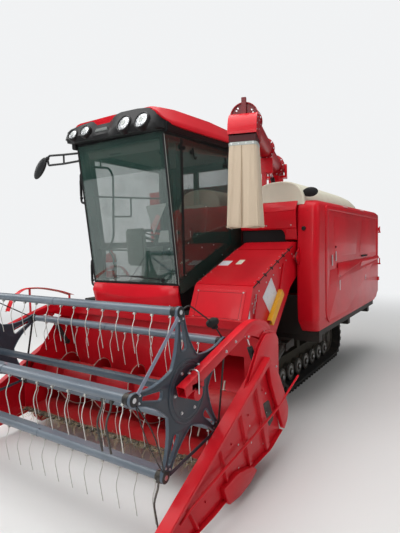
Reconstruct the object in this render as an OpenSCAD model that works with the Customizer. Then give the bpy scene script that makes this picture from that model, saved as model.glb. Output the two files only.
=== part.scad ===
// Rubber-tracked combine harvester with a cab, a reel header and a folding unloading auger.
// The front faces -Y, +X is the machine's left and +Z is up. The origin is on the ground,
// midway between the tracks and midway along the machine.

/* [Overall] */
// Half of the overall width, from the centre line to the outermost point
half_width = 1340; // [1330:1:1360]
// Half of the overall length, from the origin to the divider tips and to the rear hood
half_length = 2650; // [2640:1:2700]

/* [Tracks] */
// Distance between the centre lines of the tracks
track_gauge = 1290; // [1250:10:1330]
// Width of a track
track_w = 450; // [400:10:460]
// Pitch of the track's lugs
lug_pitch = 90; // [80:1:110]
// Height of a lug
lug_h = 30; // [20:1:34]
// Thickness of the rubber band
band_t = 28; // [22:1:32]
// Centre of the front drive sprocket along the machine
sprocket_y = 30; // [0:5:60]
// Height of the sprocket's centre
sprocket_z = 430; // [400:5:440]
// Radius of the sprocket
sprocket_r = 145; // [130:5:150]
// Centre of the rear idler along the machine
idler_y = 1980; // [1940:5:2000]
// Radius of the rear idler
idler_r = 205; // [190:5:210]
// Radius of a track roller
roller_r = 90; // [80:1:100]
// Number of track rollers on each side
roller_count = 7; // [5:1:7]
// Distance between neighbouring rollers
roller_pitch = 245; // [240:1:250]
// First roller's place along the machine
roller_y = 330; // [300:5:340]

/* [Cab] */
// Left wall of the cab
cab_left = 440; // [420:5:445]
// Right wall of the cab
cab_right = -560; // [-600:5:-540]
// Front of the cab at its floor
cab_front = -1050; // [-1080:5:-1040]
// Rear wall of the cab
cab_rear = 100; // [60:5:100]
// Height of the cab's floor
cab_floor_z = 1100; // [1080:5:1110]
// Height of the top of the cab's walls
cab_top_z = 2540; // [2500:5:2550]
// How far the windshield leans forward at its top
cab_lean = 180; // [140:5:190]
// Thickness of the cab's walls and door
cab_wall = 40; // [30:1:45]
// Thickness of window glass
glass_t = 6; // [5:1:8]
// Thickness of the roof at its middle
roof_h = 190; // [170:5:200]
// Place of the upright bar in the left wall, along the machine
side_post_y = -1000; // [-1010:5:-990]
// Overhang of the roof beyond the side walls
roof_over = 70; // [60:5:80]
// Distance of the door's rear edge from the rear wall
door_back = 90; // [80:5:120]
// Distance of the door hinge's axis outside the wall
door_hinge_out = 20; // [18:1:24]

/* [Thresher] */
// Inner side of the threshing body
body_in = 520; // [500:5:540]
// Outer side of the threshing body
body_out = 1262; // [1240:2:1266]
// Front wall of the threshing body
body_front = -40; // [-60:5:-20]
// Top of the threshing body
body_top = 1960; // [1940:5:1990]
// Thickness of a side cover
cover_t = 40; // [30:1:42]
// Distance of the side cover's hinge axis outside the cover
cover_hinge_out = 16; // [14:1:20]
// Distance of the side cover's hinge axis from the rear end
cover_hinge_in = 38; // [32:1:40]
// Top of the drum cover's arch
drum_top = 2190; // [2150:5:2210]

/* [Tank] */
// Right side of the grain tank
tank_right = -860; // [-880:5:-840]
// Top of the grain tank
tank_top = 2240; // [2150:5:2300]

/* [Unloading auger] */
// Vertical auger's place across the machine
turret_x = 150; // [130:5:170]
// Vertical auger's place along the machine
turret_y = 1650; // [1620:5:1680]
// Height of the unloading boom's centre line at rest
boom_z = 2620; // [2600:5:2640]
// Length of the boom, from the turret's axis to the middle of its discharge head
boom_len = 2574; // [2540:2:2590]
// Angle of the resting boom, clockwise from the machine's left
boom_turn = 72.13; // [70:0.01:74]
// Outer radius of the boom tube
boom_r = 95; // [85:1:100]
// Tilt cylinder's lower pin, along the boom from the turret's axis
tilt_a_u = 175; // [150:5:200]
// Height of the tilt cylinder's lower pin
tilt_a_z = 2330; // [2310:5:2350]
// Tilt cylinder's upper pin, along the boom from the turret's axis
tilt_b_u = 700; // [650:5:760]
// Height of the tilt cylinder's upper pin
tilt_b_z = 2470; // [2460:5:2480]
// Length of the discharge spout
spout_len = 690; // [600:5:720]

/* [Feeder house] */
// Right side of the feeder house
feeder_right = 560; // [550:5:570]
// Left side of the feeder house
feeder_left = 1090; // [1060:5:1095]
// Feeder and header pivot along the machine
lift_y = -150; // [-160:5:-140]
// Height of the feeder and header pivot
lift_z = 1470; // [1460:5:1480]

/* [Header] */
// Right side sheet of the header
header_right = -820; // [-840:5:-800]
// Left side sheet of the header
header_left = 1284; // [1280:2:1290]
// Centre of the feed auger along the machine
auger_y = -1370; // [-1380:2:-1360]
// Height of the feed auger's centre
auger_z = 420; // [416:2:424]
// Outer radius of the auger flights
flight_r = 218; // [200:2:222]
// Radius of the auger tube
auger_tube_r = 140; // [120:5:150]
// Pitch of the auger flights
flight_pitch = 420; // [380:10:460]
// Front edge of the header floor
lip_y = -1680; // [-1690:5:-1670]
// Height of the header floor's front edge
lip_z = 196; // [190:1:204]
// Top of the header's back wall
back_top = 975; // [960:5:980]
// Thickness of the header's sheets
sheet_t = 10; // [6:1:12]
// Pitch of the cutter bar's guards
guard_pitch = 76.2; // [70:0.1:80]

/* [Reel] */
// Reel centre along the machine
reel_y = -2050; // [-2070:5:-2040]
// Height of the reel centre
reel_z = 806; // [800:2:830]
// Radius from the reel centre to a bat
reel_r = 450; // [430:5:452]
// Outer face of the left star plate
star_left = 1200; // [1190:2:1204]
// Outer face of the right star plate
star_right = -740; // [-744:2:-730]
// Number of bats
bat_count = 5; // [5:1:5]
// Angle of the first bat ahead of the top
bat_phase = 6.92; // [0:0.01:20]
// Radius of a bat tube
bat_r = 25; // [20:1:28]
// Distance between neighbouring tines
tine_pitch = 130; // [110:5:160]
// Length of a tine
tine_len = 215; // [200:5:220]

/* [Hidden] */

red = [0.78, 0.03, 0.05];
dark_red = [0.55, 0.02, 0.04];
black = [0.05, 0.05, 0.055];
rubber = [0.07, 0.07, 0.07];
steel = [0.6, 0.6, 0.62];
blue_grey = [0.22, 0.26, 0.32];
cream = [0.86, 0.84, 0.74];
beige = [0.72, 0.66, 0.56];
glass = [0.55, 0.72, 0.68, 0.35];
yellow = [0.95, 0.72, 0.05];

gap = 0.3;
run_fit = 0.06;
moving_gap = 6;
track_x = track_gauge / 2;
band_in = lug_h + band_t;
roller_z = band_in + gap + roller_r;
idler_z = band_in + gap + idler_r;
frame_w = 110;
cab_w = cab_left - cab_right;
cab_front_top = cab_front - cab_lean;
lean_slope = cab_lean / (cab_top_z - cab_floor_z);

// Extrudes an outline drawn as [y, z] along X.
module along_x(x0, len) {
    translate([x0, 0, 0]) rotate([90, 0, 90]) linear_extrude(len) children();
}

// Extrudes an outline drawn as [x, z] along Y.
module along_y(y0, len) {
    translate([0, y0 + len, 0]) rotate([90, 0, 0]) linear_extrude(len) children();
}

// A rod of round section between two points.
module rod(a, b, r) {
    d = b - a;
    len = norm(d);
    translate(a) rotate([0, acos(d[2] / len), atan2(d[1], d[0])]) cylinder(r = r, h = len, $fn = 24);
}

// A box between two corners.
module block(a, b) {
    translate(a) cube(b - a);
}

// A round bar along X.
module bar_x(x0, x1, y, z, r) {
    translate([x0, y, z]) rotate([0, 90, 0]) cylinder(r = r, h = x1 - x0, $fn = 32);
}

// A hydraulic barrel in the YZ plane, from the pin at a towards b, bored for its rod and pin.
module barrel(x, a, b, len, r, rod_r, pin, eye_w) {
    d = b - a;
    ang = atan2(d[1], d[0]);
    translate([x, a[0], a[1]]) rotate([ang - 90, 0, 0]) difference() {
        union() {
            translate([0, 0, pin]) cylinder(r = r, h = len - pin, $fn = 32);
            translate([-eye_w / 2, 0, 0]) rotate([0, 90, 0]) cylinder(r = pin + 12, h = eye_w, $fn = 32);
        }
        translate([-eye_w, 0, 0]) rotate([0, 90, 0]) cylinder(r = pin + run_fit, h = 2 * eye_w, $fn = 32);
        translate([0, 0, pin + 40]) cylinder(r = rod_r + run_fit, h = len, $fn = 32);
    }
}

// Its rod, from inside the barrel to the eye at b.
module piston_rod(x, a, b, from, rod_r, pin, eye_w, play) {
    d = b - a;
    ang = atan2(d[1], d[0]);
    len = norm(d);
    translate([x, a[0], a[1]]) rotate([ang - 90, 0, 0]) difference() {
        union() {
            translate([0, 0, from]) cylinder(r = rod_r, h = len - from, $fn = 32);
            translate([-eye_w / 2, 0, len]) rotate([0, 90, 0]) cylinder(r = pin + play + 8, h = eye_w, $fn = 32);
        }
        translate([-eye_w, 0, len]) rotate([0, 90, 0]) cylinder(r = pin + play, h = 2 * eye_w, $fn = 32);
    }
}

// The y of the leaning front plane at a height.
function front_at(z) = cab_front - lean_slope * (z - cab_floor_z);

/* Tracks */

// Wheels inside the loop, as [y, z, radius of the band's inner side], anticlockwise seen from +X.
function loop_wheels() = [
    [roller_y, roller_z, roller_r + gap],
    [idler_y, idler_z, idler_r + gap],
    [carrier_y, carrier_z, carrier_r + gap],
    [sprocket_y, sprocket_z, sprocket_r + gap]];

// Outward normal's angle on the straight run from wheel a to wheel b, at an offset.
function run_angle(a, b, off) = let (d = [b[0] - a[0], b[1] - a[1]])
    atan2(d[1], d[0]) - acos((a[2] - b[2]) / norm(d));

function on_wheel(w, ang, r) = [w[0] + (w[2] + r) * cos(ang), w[1] + (w[2] + r) * sin(ang)];

// An angle raised by whole turns until it is at least as large as another.
function past(a, b) = a < b - 0.001 ? past(a + 360, b) : a;

// Lugs on an arc: pairs of base and tip points for each lug.
function arc_points(w, a0, a1, pitch, low, high) = let (
    r = w[2] + high, n = max(1, floor((a1 - a0) * PI / 180 * r / pitch)), da = (a1 - a0) / n)
    [for (i = [0 : n - 1], p = [[0.2, low], [0.3, high], [0.7, high], [0.8, low]])
        on_wheel(w, a0 + (i + p[0]) * da, p[1])];

// Lugs on a straight run between two wheels.
function run_points(w, v, ang, pitch, low, high) = let (
    a = on_wheel(w, ang, 0), b = on_wheel(v, ang, 0), d = b - a,
    n = max(1, floor(norm(d) / pitch)), nrm = [cos(ang), sin(ang)])
    [for (i = [0 : n - 1], p = [[0.2, low], [0.32, high], [0.68, high], [0.8, low]])
        a + d * (i + p[0]) / n + nrm * p[1]];

// The whole loop's outline, with lugs from one offset to another.
function loop_outline(w, pitch, low, high) = let (n = len(w),
    ang = [for (i = [0 : n - 1]) run_angle(w[i], w[(i + 1) % n], 0)])
    [for (i = [0 : n - 1], p = concat(
        arc_points(w[i], ang[(i + n - 1) % n], past(ang[i], ang[(i + n - 1) % n]), pitch, low, high),
        run_points(w[i], w[(i + 1) % n], ang[i], pitch, low, high))) p];

carrier_y = 1000;
carrier_z = 475;
carrier_r = 60;

// The loop's smooth inner side.
function inner_outline(w) = let (n = len(w), ang = [for (i = [0 : n - 1]) run_angle(w[i], w[(i + 1) % n], 0)])
    [for (i = [0 : n - 1]) let (a0 = ang[(i + n - 1) % n], a1 = past(ang[i], a0), k = max(2, ceil((a1 - a0) / 7)))
        each [for (j = [0 : k]) on_wheel(w[i], a0 + (a1 - a0) * j / k, 0.3)]];

module track(side) {
    w = loop_wheels();
    x0 = side > 0 ? track_x - track_w / 2 : -track_x - track_w / 2;
    along_x(x0, track_w) difference() {
        polygon(loop_outline(w, lug_pitch, band_t, band_in));
        polygon(inner_outline(w));
    }
}
module track_left() { color(rubber) track(1); }
module track_right() { color(rubber) track(-1); }

// The beam between the rows of wheels, with the ears that carry sprocket and idler.
module track_frame(side) {
    x0 = side * track_x - frame_w / 2;
    along_x(x0, frame_w) polygon([[sprocket_y - 60, sprocket_z + 30], [sprocket_y + 60, sprocket_z + 50],
        [420, 330], [idler_y - 120, 330], [idler_y + 40, 300], [idler_y + 40, 230], [idler_y - 140, 110],
        [300, 110], [roller_y - 100, 130], [sprocket_y + 40, sprocket_z - 90], [sprocket_y - 60, sprocket_z - 40]]);
    block([x0, carrier_y - 40, 300], [x0 + frame_w, carrier_y + 40, carrier_z + 25]);
}
module track_frame_left() { color(red) track_frame(1); }
module track_frame_right() { color(red) track_frame(-1); }

// Discs on both sides of the beam: sprocket, idler and rollers, each against the beam's side.
module wheel_pair(side, y, z, r, w) {
    for (s = [-1, 1]) translate([side * track_x + s * (frame_w + w) / 2, y, z]) rotate([0, s * 90, 0]) difference() {
        union() {
            cylinder(r = r, h = w, center = true, $fn = 32);
            cylinder(r = r * 0.35, h = w / 2 + 12, $fn = 16);
        }
        translate([0, 0, w / 2 - 14]) difference() {
            cylinder(r = r - 22, h = 20, $fn = 32);
            cylinder(r = r * 0.35 + 10, h = 60, center = true, $fn = 16);
        }
    }
}
module rollers(side) {
    for (i = [0 : roller_count - 1]) wheel_pair(side, roller_y + i * roller_pitch, roller_z, roller_r, 70);
    wheel_pair(side, idler_y, idler_z, idler_r, 60);
    wheel_pair(side, carrier_y, carrier_z, carrier_r, 60);
    wheel_pair(side, sprocket_y, sprocket_z, sprocket_r, 60);
}
module rollers_left() { color(steel) rollers(1); }
module rollers_right() { color(steel) rollers(-1); }

/* Chassis */
tow_r = 16;
tie_r = 18;
tie_y = -550;
module chassis() {
    color(red) difference() {
        chassis_beams();
        translate([0, 2350, 500]) cylinder(r = tow_r, h = 200, $fn = 32);
        bar_x(-400, 400, tie_y, 580, tie_r);
    }
}
module chassis_beams() {
    union() {
        block([-60, 2290, 565], [60, 2390, 595]);
        for (s = [-1, 1]) {
            block([s * 330 - 50, -700, 520], [s * 330 + 50, 2300, 640]);
            for (y = [500, 1600]) {
                block([s * 330 - 50, y, 240], [s * 330 + 50, y + 120, 520]);
                block([s > 0 ? 380 : -track_x + frame_w / 2, y, 240], [s > 0 ? track_x - frame_w / 2 : -380, y + 120, 320]);
            }
            for (y = [260, 820]) block([s * 330 - 50, y, 640], [s * 330 + 50, y + 100, engine_z]);
        }
        for (y = [-700, 60, 900, 1700, 2200]) block([-280, y, 530], [280, y + 100, 630]);
        // Outriggers that carry the threshing body and the tank
        for (y = [60, 1100, 2100]) {
            block([380, y, 640], [body_out, y + 90, 700]);
            block([-860, y, 640], [-380, y + 90, 700]);
            for (s = [-1, 1]) block([s * 330 - 50, y, 640], [s * 330 + 50, y + 90, 700]);
        }
        // Posts under the cab
        for (s = [-1, 1], y = [-690, -150]) block([s * 330 - 40, y, 640], [s * 330 + 40, y + 80, cab_floor_z - 60]);
        // Clevis plates and pins of the lift cylinders, on a bar between the frame and the left outrigger
        block([300, lift_a[0] + 60, 620], [1060, lift_a[0] + 160, 690]);
        for (x = lift_xs) {
            for (s = [-1, 1]) along_x(x + s * 45 - 5, 10) polygon([[lift_a[0] - 36, lift_a[1] - 36], [lift_a[0] - 36, lift_a[1] + 36],
                [lift_a[0] + 80, lift_a[1] + 48], [lift_a[0] + 80, lift_a[1] - 16]]);
            bar_x(x - 50, x + 50, lift_a[0], lift_a[1], lift_pin);
        }
    }
}
engine_z = 700;
module engine() {
    color(steel) block([-420, 170, engine_z], [380, 1000, 1330]);
}

/* Cab */
function cab_profile(t) = [[cab_front + t, cab_floor_z + t], [cab_front_top + t, cab_top_z - t],
    [cab_rear - t, cab_top_z - t], [cab_rear - t, cab_floor_z + t]];

module cab_floor() {
    color(black) block([cab_right, cab_front + 30, cab_floor_z - 60], [cab_left, cab_rear, cab_floor_z]);
}

hinge_r = 8;
hinge_zs = [1400, 2200];
// A fixed hinge: an upright pin on a collar.
module hinge_pin(x, y, z) {
    translate([x, y, z - 45]) cylinder(r = hinge_r, h = 90, $fn = 32);
    translate([x, y, z - 45]) cylinder(r = hinge_r + 6, h = 20, $fn = 32);
}
// The turning half: a knuckle around the pin with a leaf towards the front.
module hinge_ring(x, y, z, leaf) {
    difference() {
        union() {
            translate([x, y, z - 25 + gap]) cylinder(r = hinge_r + 6, h = 60, $fn = 32);
            block([x - 5, y - leaf, z - 25 + gap], [x + 5, y, z + 35 + gap]);
        }
        translate([x, y, z - 50]) cylinder(r = hinge_r + run_fit, h = 100, $fn = 32);
    }
}
door_hinge = [cab_right - door_hinge_out, cab_rear - door_back + 12];

module cab_shell() {
    color(black) difference() {
        along_x(cab_right, cab_w) polygon(cab_profile(0));
        along_x(cab_right + cab_wall, cab_w - 2 * cab_wall) polygon(cab_profile(cab_wall));
        // windshield opening
        along_x(cab_right + 55, cab_w - 110) polygon([[-1500, 1200], [-1500, 2470],
            [cab_front_top + 60, 2470], [cab_front + 60, 1200]]);
        // front quarter window and main window in the left wall
        along_x(cab_left - cab_wall - 5, cab_wall + 10) polygon([[front_at(1320) + 36, 1320],
            [front_at(2460) + 36, 2460], [side_post_y - 18, 2460], [side_post_y - 18, 1320]]);
        along_x(cab_left - cab_wall - 5, cab_wall + 10) polygon([[side_post_y + 18, 1640], [side_post_y + 18, 2460],
            [cab_rear - 80, 2460], [cab_rear - 80, 1840]]);
        // rear window
        along_y(cab_rear - cab_wall - 5, cab_wall + 10) polygon([[cab_right + 150, 1750], [cab_right + 150, 2400],
            [cab_left - 150, 2400], [cab_left - 150, 1750]]);
        // doorway in the right wall
        along_x(cab_right - 5, cab_wall + 10) polygon(door_outline(-4));
    }
    color(black) for (z = hinge_zs) {
        hinge_pin(door_hinge[0], door_hinge[1], z);
        block([door_hinge[0] - 6, door_hinge[1] + 4, z - 45], [cab_right + 5, door_hinge[1] + 30, z - 25]);
    }
}

// Outline of the door: shrinks by t on every side.
function door_outline(t) = [[front_at(cab_floor_z + 60) + 90 + t, cab_floor_z + 60 + t],
    [front_at(2480) + 90 + t, 2480 - t], [cab_rear - door_back - t, 2480 - t], [cab_rear - door_back - t, cab_floor_z + 60 + t]];

module cab_glass() {
    pane = 16;
    color(glass) {
        // windshield, against the front of the shell
        along_x(cab_right + 4, cab_w - 8) polygon([[front_at(1265) - gap, 1265], [front_at(cab_top_z - 20) - gap, cab_top_z - 20],
            [front_at(cab_top_z - 20) - gap - glass_t, cab_top_z - 20], [front_at(1265) - gap - glass_t, 1265]]);
        // left wall, against its outer side
        along_x(cab_left, glass_t) polygon([[front_at(1200) + 4, 1200], [front_at(2500) + 4, 2500],
            [cab_rear - 40, 2500], [cab_rear - 40, 1560], [cab_front + 40, 1200]]);
        // rear wall
        along_y(cab_rear - cab_wall - glass_t, glass_t) polygon([[cab_right + 150 - pane, 1750 - pane],
            [cab_right + 150 - pane, 2400 + pane], [cab_left - 150 + pane, 2400 + pane], [cab_left - 150 + pane, 1750 - pane]]);
    }
}

module cab_lower_panel() {
    color(red) along_x(cab_right, cab_w) polygon([[cab_front, 1040], [cab_front, cab_floor_z], [front_at(1262), 1262],
        [front_at(1262) - 20, 1262], [cab_front - 60, 1190], [cab_front - 50, 1060], [cab_front - 30, 1040]]);
}

module cab_roof() {
    l = cab_left + roof_over;
    r = cab_right - roof_over;
    y0 = cab_front_top;
    y1 = cab_rear + 30;
    color(red) hull() {
        block([r, y0 + 80, cab_top_z], [l, y1, cab_top_z + 60]);
        block([r + 170, y0 + 40, cab_top_z + 60], [l - 170, y1 - 60, cab_top_z + roof_h]);
        block([r + 60, y0, cab_top_z], [l - 60, y0 + 20, cab_top_z + 100]);
    }
}

visor_front = cab_front_top - 100;
module roof_visor() {
    l = cab_left + roof_over;
    r = cab_right - roof_over;
    color(black) difference() {
        union() {
            along_x(r + 10, l - r - 20) polygon([[visor_front, cab_top_z + 10], [visor_front - 20, cab_top_z + 90],
                [visor_front + 40, cab_top_z + 150], [cab_front_top, cab_top_z + 100], [cab_front_top, cab_top_z],
                [cab_front_top - 30, cab_top_z - 30]]);
        }
        for (x = lamp_xs) translate([x, visor_front - 60, cab_top_z + 62]) rotate([-90, 0, 0])
            cylinder(r = 46, h = 90, $fn = 32);
    }
}
lamp_xs = [cab_right - 3, cab_right + 105, cab_left - 205, cab_left - 65];
module lamps() {
    color([0.9, 0.9, 0.88]) for (x = lamp_xs) translate([x, visor_front + 5, cab_top_z + 62]) rotate([-90, 0, 0])
        cylinder(r = 45, h = 25, $fn = 32);
}

module seat() {
    color([0.2, 0.2, 0.2]) {
        block([-240, -560, cab_floor_z + cab_wall], [100, -180, 1330]);
        block([-280, -640, 1330], [140, -160, 1450]);
        along_x(-260, 380) polygon([[-260, 1450], [-160, 1450], [-60, 2020], [-130, 2040]]);
    }
}
module console() {
    color([0.28, 0.29, 0.28]) {
        block([190, -900, cab_floor_z + cab_wall], [395, -160, 1620]);
        along_x(-110, 90) polygon([[-960, cab_floor_z + cab_wall], [-900, 1600], [-820, 1600], [-840, cab_floor_z + cab_wall]]);
        translate([-65, -860, 1640]) rotate([-20, 0, 0]) cylinder(r = 30, h = 90, center = true, $fn = 24);
        translate([-65, -875, 1690]) rotate([-20, 0, 0]) rotate_extrude($fn = 32) translate([170, 0]) circle(r = 14, $fn = 16);
        for (a = [0, 120, 240]) translate([-65, -875, 1690]) rotate([-20, 0, 0]) rotate([0, 90, a]) cylinder(r = 9, h = 170, $fn = 16);
    }
}
mirror_l = 170;
mirror_h = 120;
module mirror() {
    y = front_at(2460) + 42;
    stem_x = 220 - half_width;
    color(black) {
        block([cab_right - 12, y - 20, 2390], [cab_right, y + 20, 2500]);
        rod([cab_right - 6, y, 2480], [stem_x, -1120, 2520], 11);
        rod([cab_right - 6, y, 2410], [stem_x, -1120, 2440], 11);
        rod([stem_x, -1120, 2400], [stem_x, -1120, 2540], 13);
        rod([(cab_right + stem_x) / 2, y + 27, 2445], [(cab_right + stem_x) / 2, y + 27, 2500], 9);
        rod([stem_x, -1120, 2440], [stem_x - 80, -1126, 2440], 9);
        translate([-half_width + (mirror_l + mirror_h) / 2 * cos(45), -1130, 2413]) rotate([0, -45, 0])
            cube([mirror_l, 40, mirror_h], center = true);
    }
}
module grab_handles() {
    color(black) for (z = [[1230, 1480], [2020, 2300]]) {
        y = front_at((z[0] + z[1]) / 2) + 40;
        bar_x(cab_right - 70, cab_right, y, z[0], 13);
        bar_x(cab_right - 70, cab_right, y, z[1], 13);
        rod([cab_right - 70, y, z[0] - 13], [cab_right - 70, y, z[1] + 13], 13);
    }
}
module steps() {
    color(black) {
        for (x = [-840, -600]) block([x, -900, 440], [x + 30, -840, cab_floor_z - 60]);
        for (z = [440, 740]) block([-815, -960, z], [-595, -780, z + 25]);
        block([-840, -960, cab_floor_z - 60], [cab_right, -300, cab_floor_z - 20]);
    }
}
module cab_door() {
    color(black) difference() {
        along_x(cab_right, cab_wall) polygon(door_outline(4));
        along_x(cab_right - 5, cab_wall + 10) polygon([[front_at(1640) + 150, 1640], [front_at(2420) + 150, 2420],
            [cab_rear - 150, 2420], [cab_rear - 150, 1640]]);
        along_x(cab_right - 5, cab_wall + 10) polygon([[front_at(1240) + 150, 1240], [front_at(1580) + 150, 1580],
            [cab_rear - 150, 1580], [cab_rear - 150, 1240]]);
    }
    color(black) for (z = hinge_zs) {
        hinge_ring(door_hinge[0], door_hinge[1], z, 40);
        block([door_hinge[0] - 5, door_hinge[1] - 45, z - 25 + gap], [cab_right + 5, door_hinge[1] - 25, z + 35 + gap]);
    }
}
module door_glass() {
    color(glass) along_x(cab_right - glass_t, glass_t) polygon([[front_at(1220) + 130, 1220], [front_at(2440) + 130, 2440],
        [cab_rear - 130, 2440], [cab_rear - 130, 1220]]);
}

/* Threshing body and tank */
module thresher() {
    color(red) {
        difference() {
            along_x(body_in, body_out - body_in) polygon([[body_front, 1180], [body_front, body_top],
                [body_top_rear, body_top], [body_rear, 1300], [body_rear - 110, 700], [60, 700]]);
            // mouth for the feeder house
            block([feeder_right - 25, -100, 1100], [feeder_left + 25, 130, 1660]);
            // straw outlet
            block([body_in + 60, body_rear - 310, 800], [body_out - 60, half_length + 50, 1800]);
        }
        // Bearing plates of the feeder's pivot
        for (x = [feeder_right - 25 - pivot_plate, feeder_left + 25]) difference() {
            along_x(x, pivot_plate) polygon([[body_front + 20, lift_z - 130], [body_front + 20, lift_z + 130],
                [lift_y, lift_z + 50], [lift_y - 50, lift_z], [lift_y, lift_z - 50]]);
            bar_x(x - 1, x + pivot_plate + 1, lift_y, lift_z, lift_pin + run_fit);
        }
    }
}
pivot_plate = 14;
body_rear = half_length - 90;
body_top_rear = body_rear - 140;
lift_pin = 22;
cover_hinge_zs = [1300, 1750];
cover_rear = half_length - 50;
cover_x = body_out + moving_gap;
cover_hinge_x = body_out + cover_t + cover_hinge_out;
cover_hinge_y = half_length - cover_hinge_in;
function arch(half, low, top, n) = [for (i = [0 : n]) [-half * cos(180 * i / n), low + (top - low) * sin(180 * i / n)]];
module drum_cover() {
    mid = (650 + 1150) / 2;
    color(cream) translate([mid, 0, 0]) {
        along_y(body_front - 20, 2240) polygon(arch(270, body_top, drum_top, 20));
    }
}
module front_cover() {
    color(red) along_x(body_in, body_out - body_in) polygon([[body_front - 60, 1690], [body_front - 90, 1730],
        [body_front - 60, 1945], [body_front, body_top], [body_front, 1690]]);
}
module side_cover() {
    color(red) {
        along_x(cover_x, cover_t - moving_gap) polygon([[-50, 870], [body_front - 20, 1960], [60, 2000],
            [body_rear, 2000], [cover_rear, 1940], [cover_rear, 850], [body_rear - 110, 770], [1350, 745], [-10, 765]]);
        for (z = cover_hinge_zs) {
            hinge_ring(cover_hinge_x, cover_hinge_y, z, 40);
            block([cover_x + 10, cover_hinge_y - 60, z - 25 + gap], [cover_hinge_x + 5, cover_hinge_y - 30, z + 35 + gap]);
        }
    }
}
module grain_tank() {
    color(red) {
        along_x(tank_right, body_in - 20 - tank_right) polygon([[140, 1400], [140, tank_top], [1480, tank_top],
            [1480, 1400], [1300, 1340], [400, 1340]]);
        block([tank_right, 1040, 700], [-300, 1900, 1345]);
        // The foot of the vertical auger behind the tank
        translate([turret_x, turret_y, 700]) cylinder(r = 118, h = tank_top - 700, $fn = 48);
        block([turret_x - 100, 1470, 1500], [turret_x + 100, turret_y, tank_top]);
    }
}
module side_screen() {
    color(black) block([tank_right, 160, 700], [tank_right + 60, 1040, 1330]);
}
module rear_hood() {
    t = 12;
    color(red) {
        difference() {
            along_x(body_in, body_out - body_in) polygon([[body_top_rear + gap, body_top], [half_length - 150, body_top],
                [half_length, 1250], [half_length, 1200], [body_rear - 18.3 + gap, 1200], [body_rear + gap, 1300]]);
            along_x(body_in + t, body_out - body_in - 2 * t) polygon([[body_top_rear - 20, body_top - t],
                [half_length - 150 - t, body_top - t], [half_length - t, 1250], [half_length - t, 1100],
                [body_top_rear - 20, 1100]]);
        }
        // Hinge arms of the side cover
        for (z = cover_hinge_zs) {
            hinge_pin(cover_hinge_x, cover_hinge_y, z);
            block([body_out - 60, cover_hinge_y - (z > 1500 ? 92 : 42), z - 45], [body_out, cover_hinge_y + 12, z - 25]);
            block([body_out - 20, cover_hinge_y - 6, z - 45], [cover_hinge_x, cover_hinge_y + 12, z - 25]);
        }
    }
}

/* Unloading auger */
boom_dir = [cos(boom_turn), -sin(boom_turn), 0];
module at_turret() { translate([turret_x, turret_y, 0]) rotate([0, 0, -boom_turn]) children(); }

rest_u = 1336;
module auger_rest() {
    color(red) at_turret() {
        translate([rest_u - 25, -25, body_top]) cube([50, 50, 400]);
        translate([rest_u - 30, -110, body_top + 400]) cube([60, 200, boom_z - boom_r - moving_gap - body_top - 400]);
        translate([rest_u - 30, -130, body_top + 400]) cube([60, 20, boom_z - 40 - body_top - 400]);
    }
}
boom_pin = 18;
module turret() {
    color(red) at_turret() {
        translate([0, 0, tank_top + gap]) cylinder(r = 135, h = 20, $fn = 48);
        translate([0, 0, tank_top + gap + 20]) cylinder(r = 100, h = boom_z - 110 - tank_top - 20 - gap, $fn = 48);
        translate([-80, -150, boom_z - 140]) cube([160, 300, 30]);
        for (s = [-1, 1]) difference() {
            translate([-45, s * 135 - 15, boom_z - 140]) cube([90, 30, 185]);
            translate([0, s * 135, boom_z]) rotate([90, 0, 0]) cylinder(r = boom_pin + run_fit, h = 60, center = true, $fn = 32);
        }
        for (s = [-1, 1]) translate([80, s * 38 - 5, tilt_a_z - 36]) cube([tilt_a_u - 80 + 36, 10, 72]);
        translate([tilt_a_u, -40, tilt_a_z]) rotate([-90, 0, 0]) cylinder(r = tilt_pin, h = 80, $fn = 32);
    }
}
module boom() {
    color(red) at_turret() {
        translate([20, 0, boom_z]) rotate([0, 90, 0]) cylinder(r = boom_r, h = boom_len - 40, $fn = 48);
        translate([-60, -110, boom_z - 80]) cube([130, 220, 180]);
        translate([0, -150, boom_z]) rotate([-90, 0, 0]) cylinder(r = boom_pin, h = 300, $fn = 32);
        translate([boom_len - 60, 0, 0]) along_x(0, 200) polygon(concat([[-135, boom_z - 120]],
            arch(135, boom_z, boom_z + 135, 20), [[135, boom_z - 120]]));
        translate([boom_len + 140, -20, boom_z]) cube([25, 40, 150]);
        for (s = [-1, 1]) translate([tilt_b_u - 30, s * 22 - 5, tilt_b_z - 24]) cube([60, 10, boom_z - 80 - tilt_b_z + 24]);
        translate([tilt_b_u, -27, tilt_b_z]) rotate([-90, 0, 0]) cylinder(r = tilt_eye_pin, h = 54, $fn = 32);
    }
}
module discharge_spout() {
    color(beige) at_turret() difference() {
        translate([boom_len - 60, -142, boom_z - 120 - spout_len]) cube([200, 284, spout_len]);
        translate([boom_len - 52, -134, boom_z - 131 - spout_len]) cube([184, 268, spout_len + 20]);
    }
}
tilt_pin = 12;
tilt_eye_pin = 6;
tilt_a = [tilt_a_u, tilt_a_z];
tilt_b = [tilt_b_u, tilt_b_z];
// The tilt cylinder lies in the boom's upright plane.
module in_boom_plane() { at_turret() rotate([0, 0, -90]) children(); }
module tilt_barrel() {
    color(black) in_boom_plane() barrel(0, tilt_a, tilt_b, 330, 28, 14, tilt_pin, 55);
}
module tilt_rod() {
    color(steel) in_boom_plane() piston_rod(0, tilt_a, tilt_b, 140, 14, tilt_eye_pin, 24, 5);
}

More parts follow.
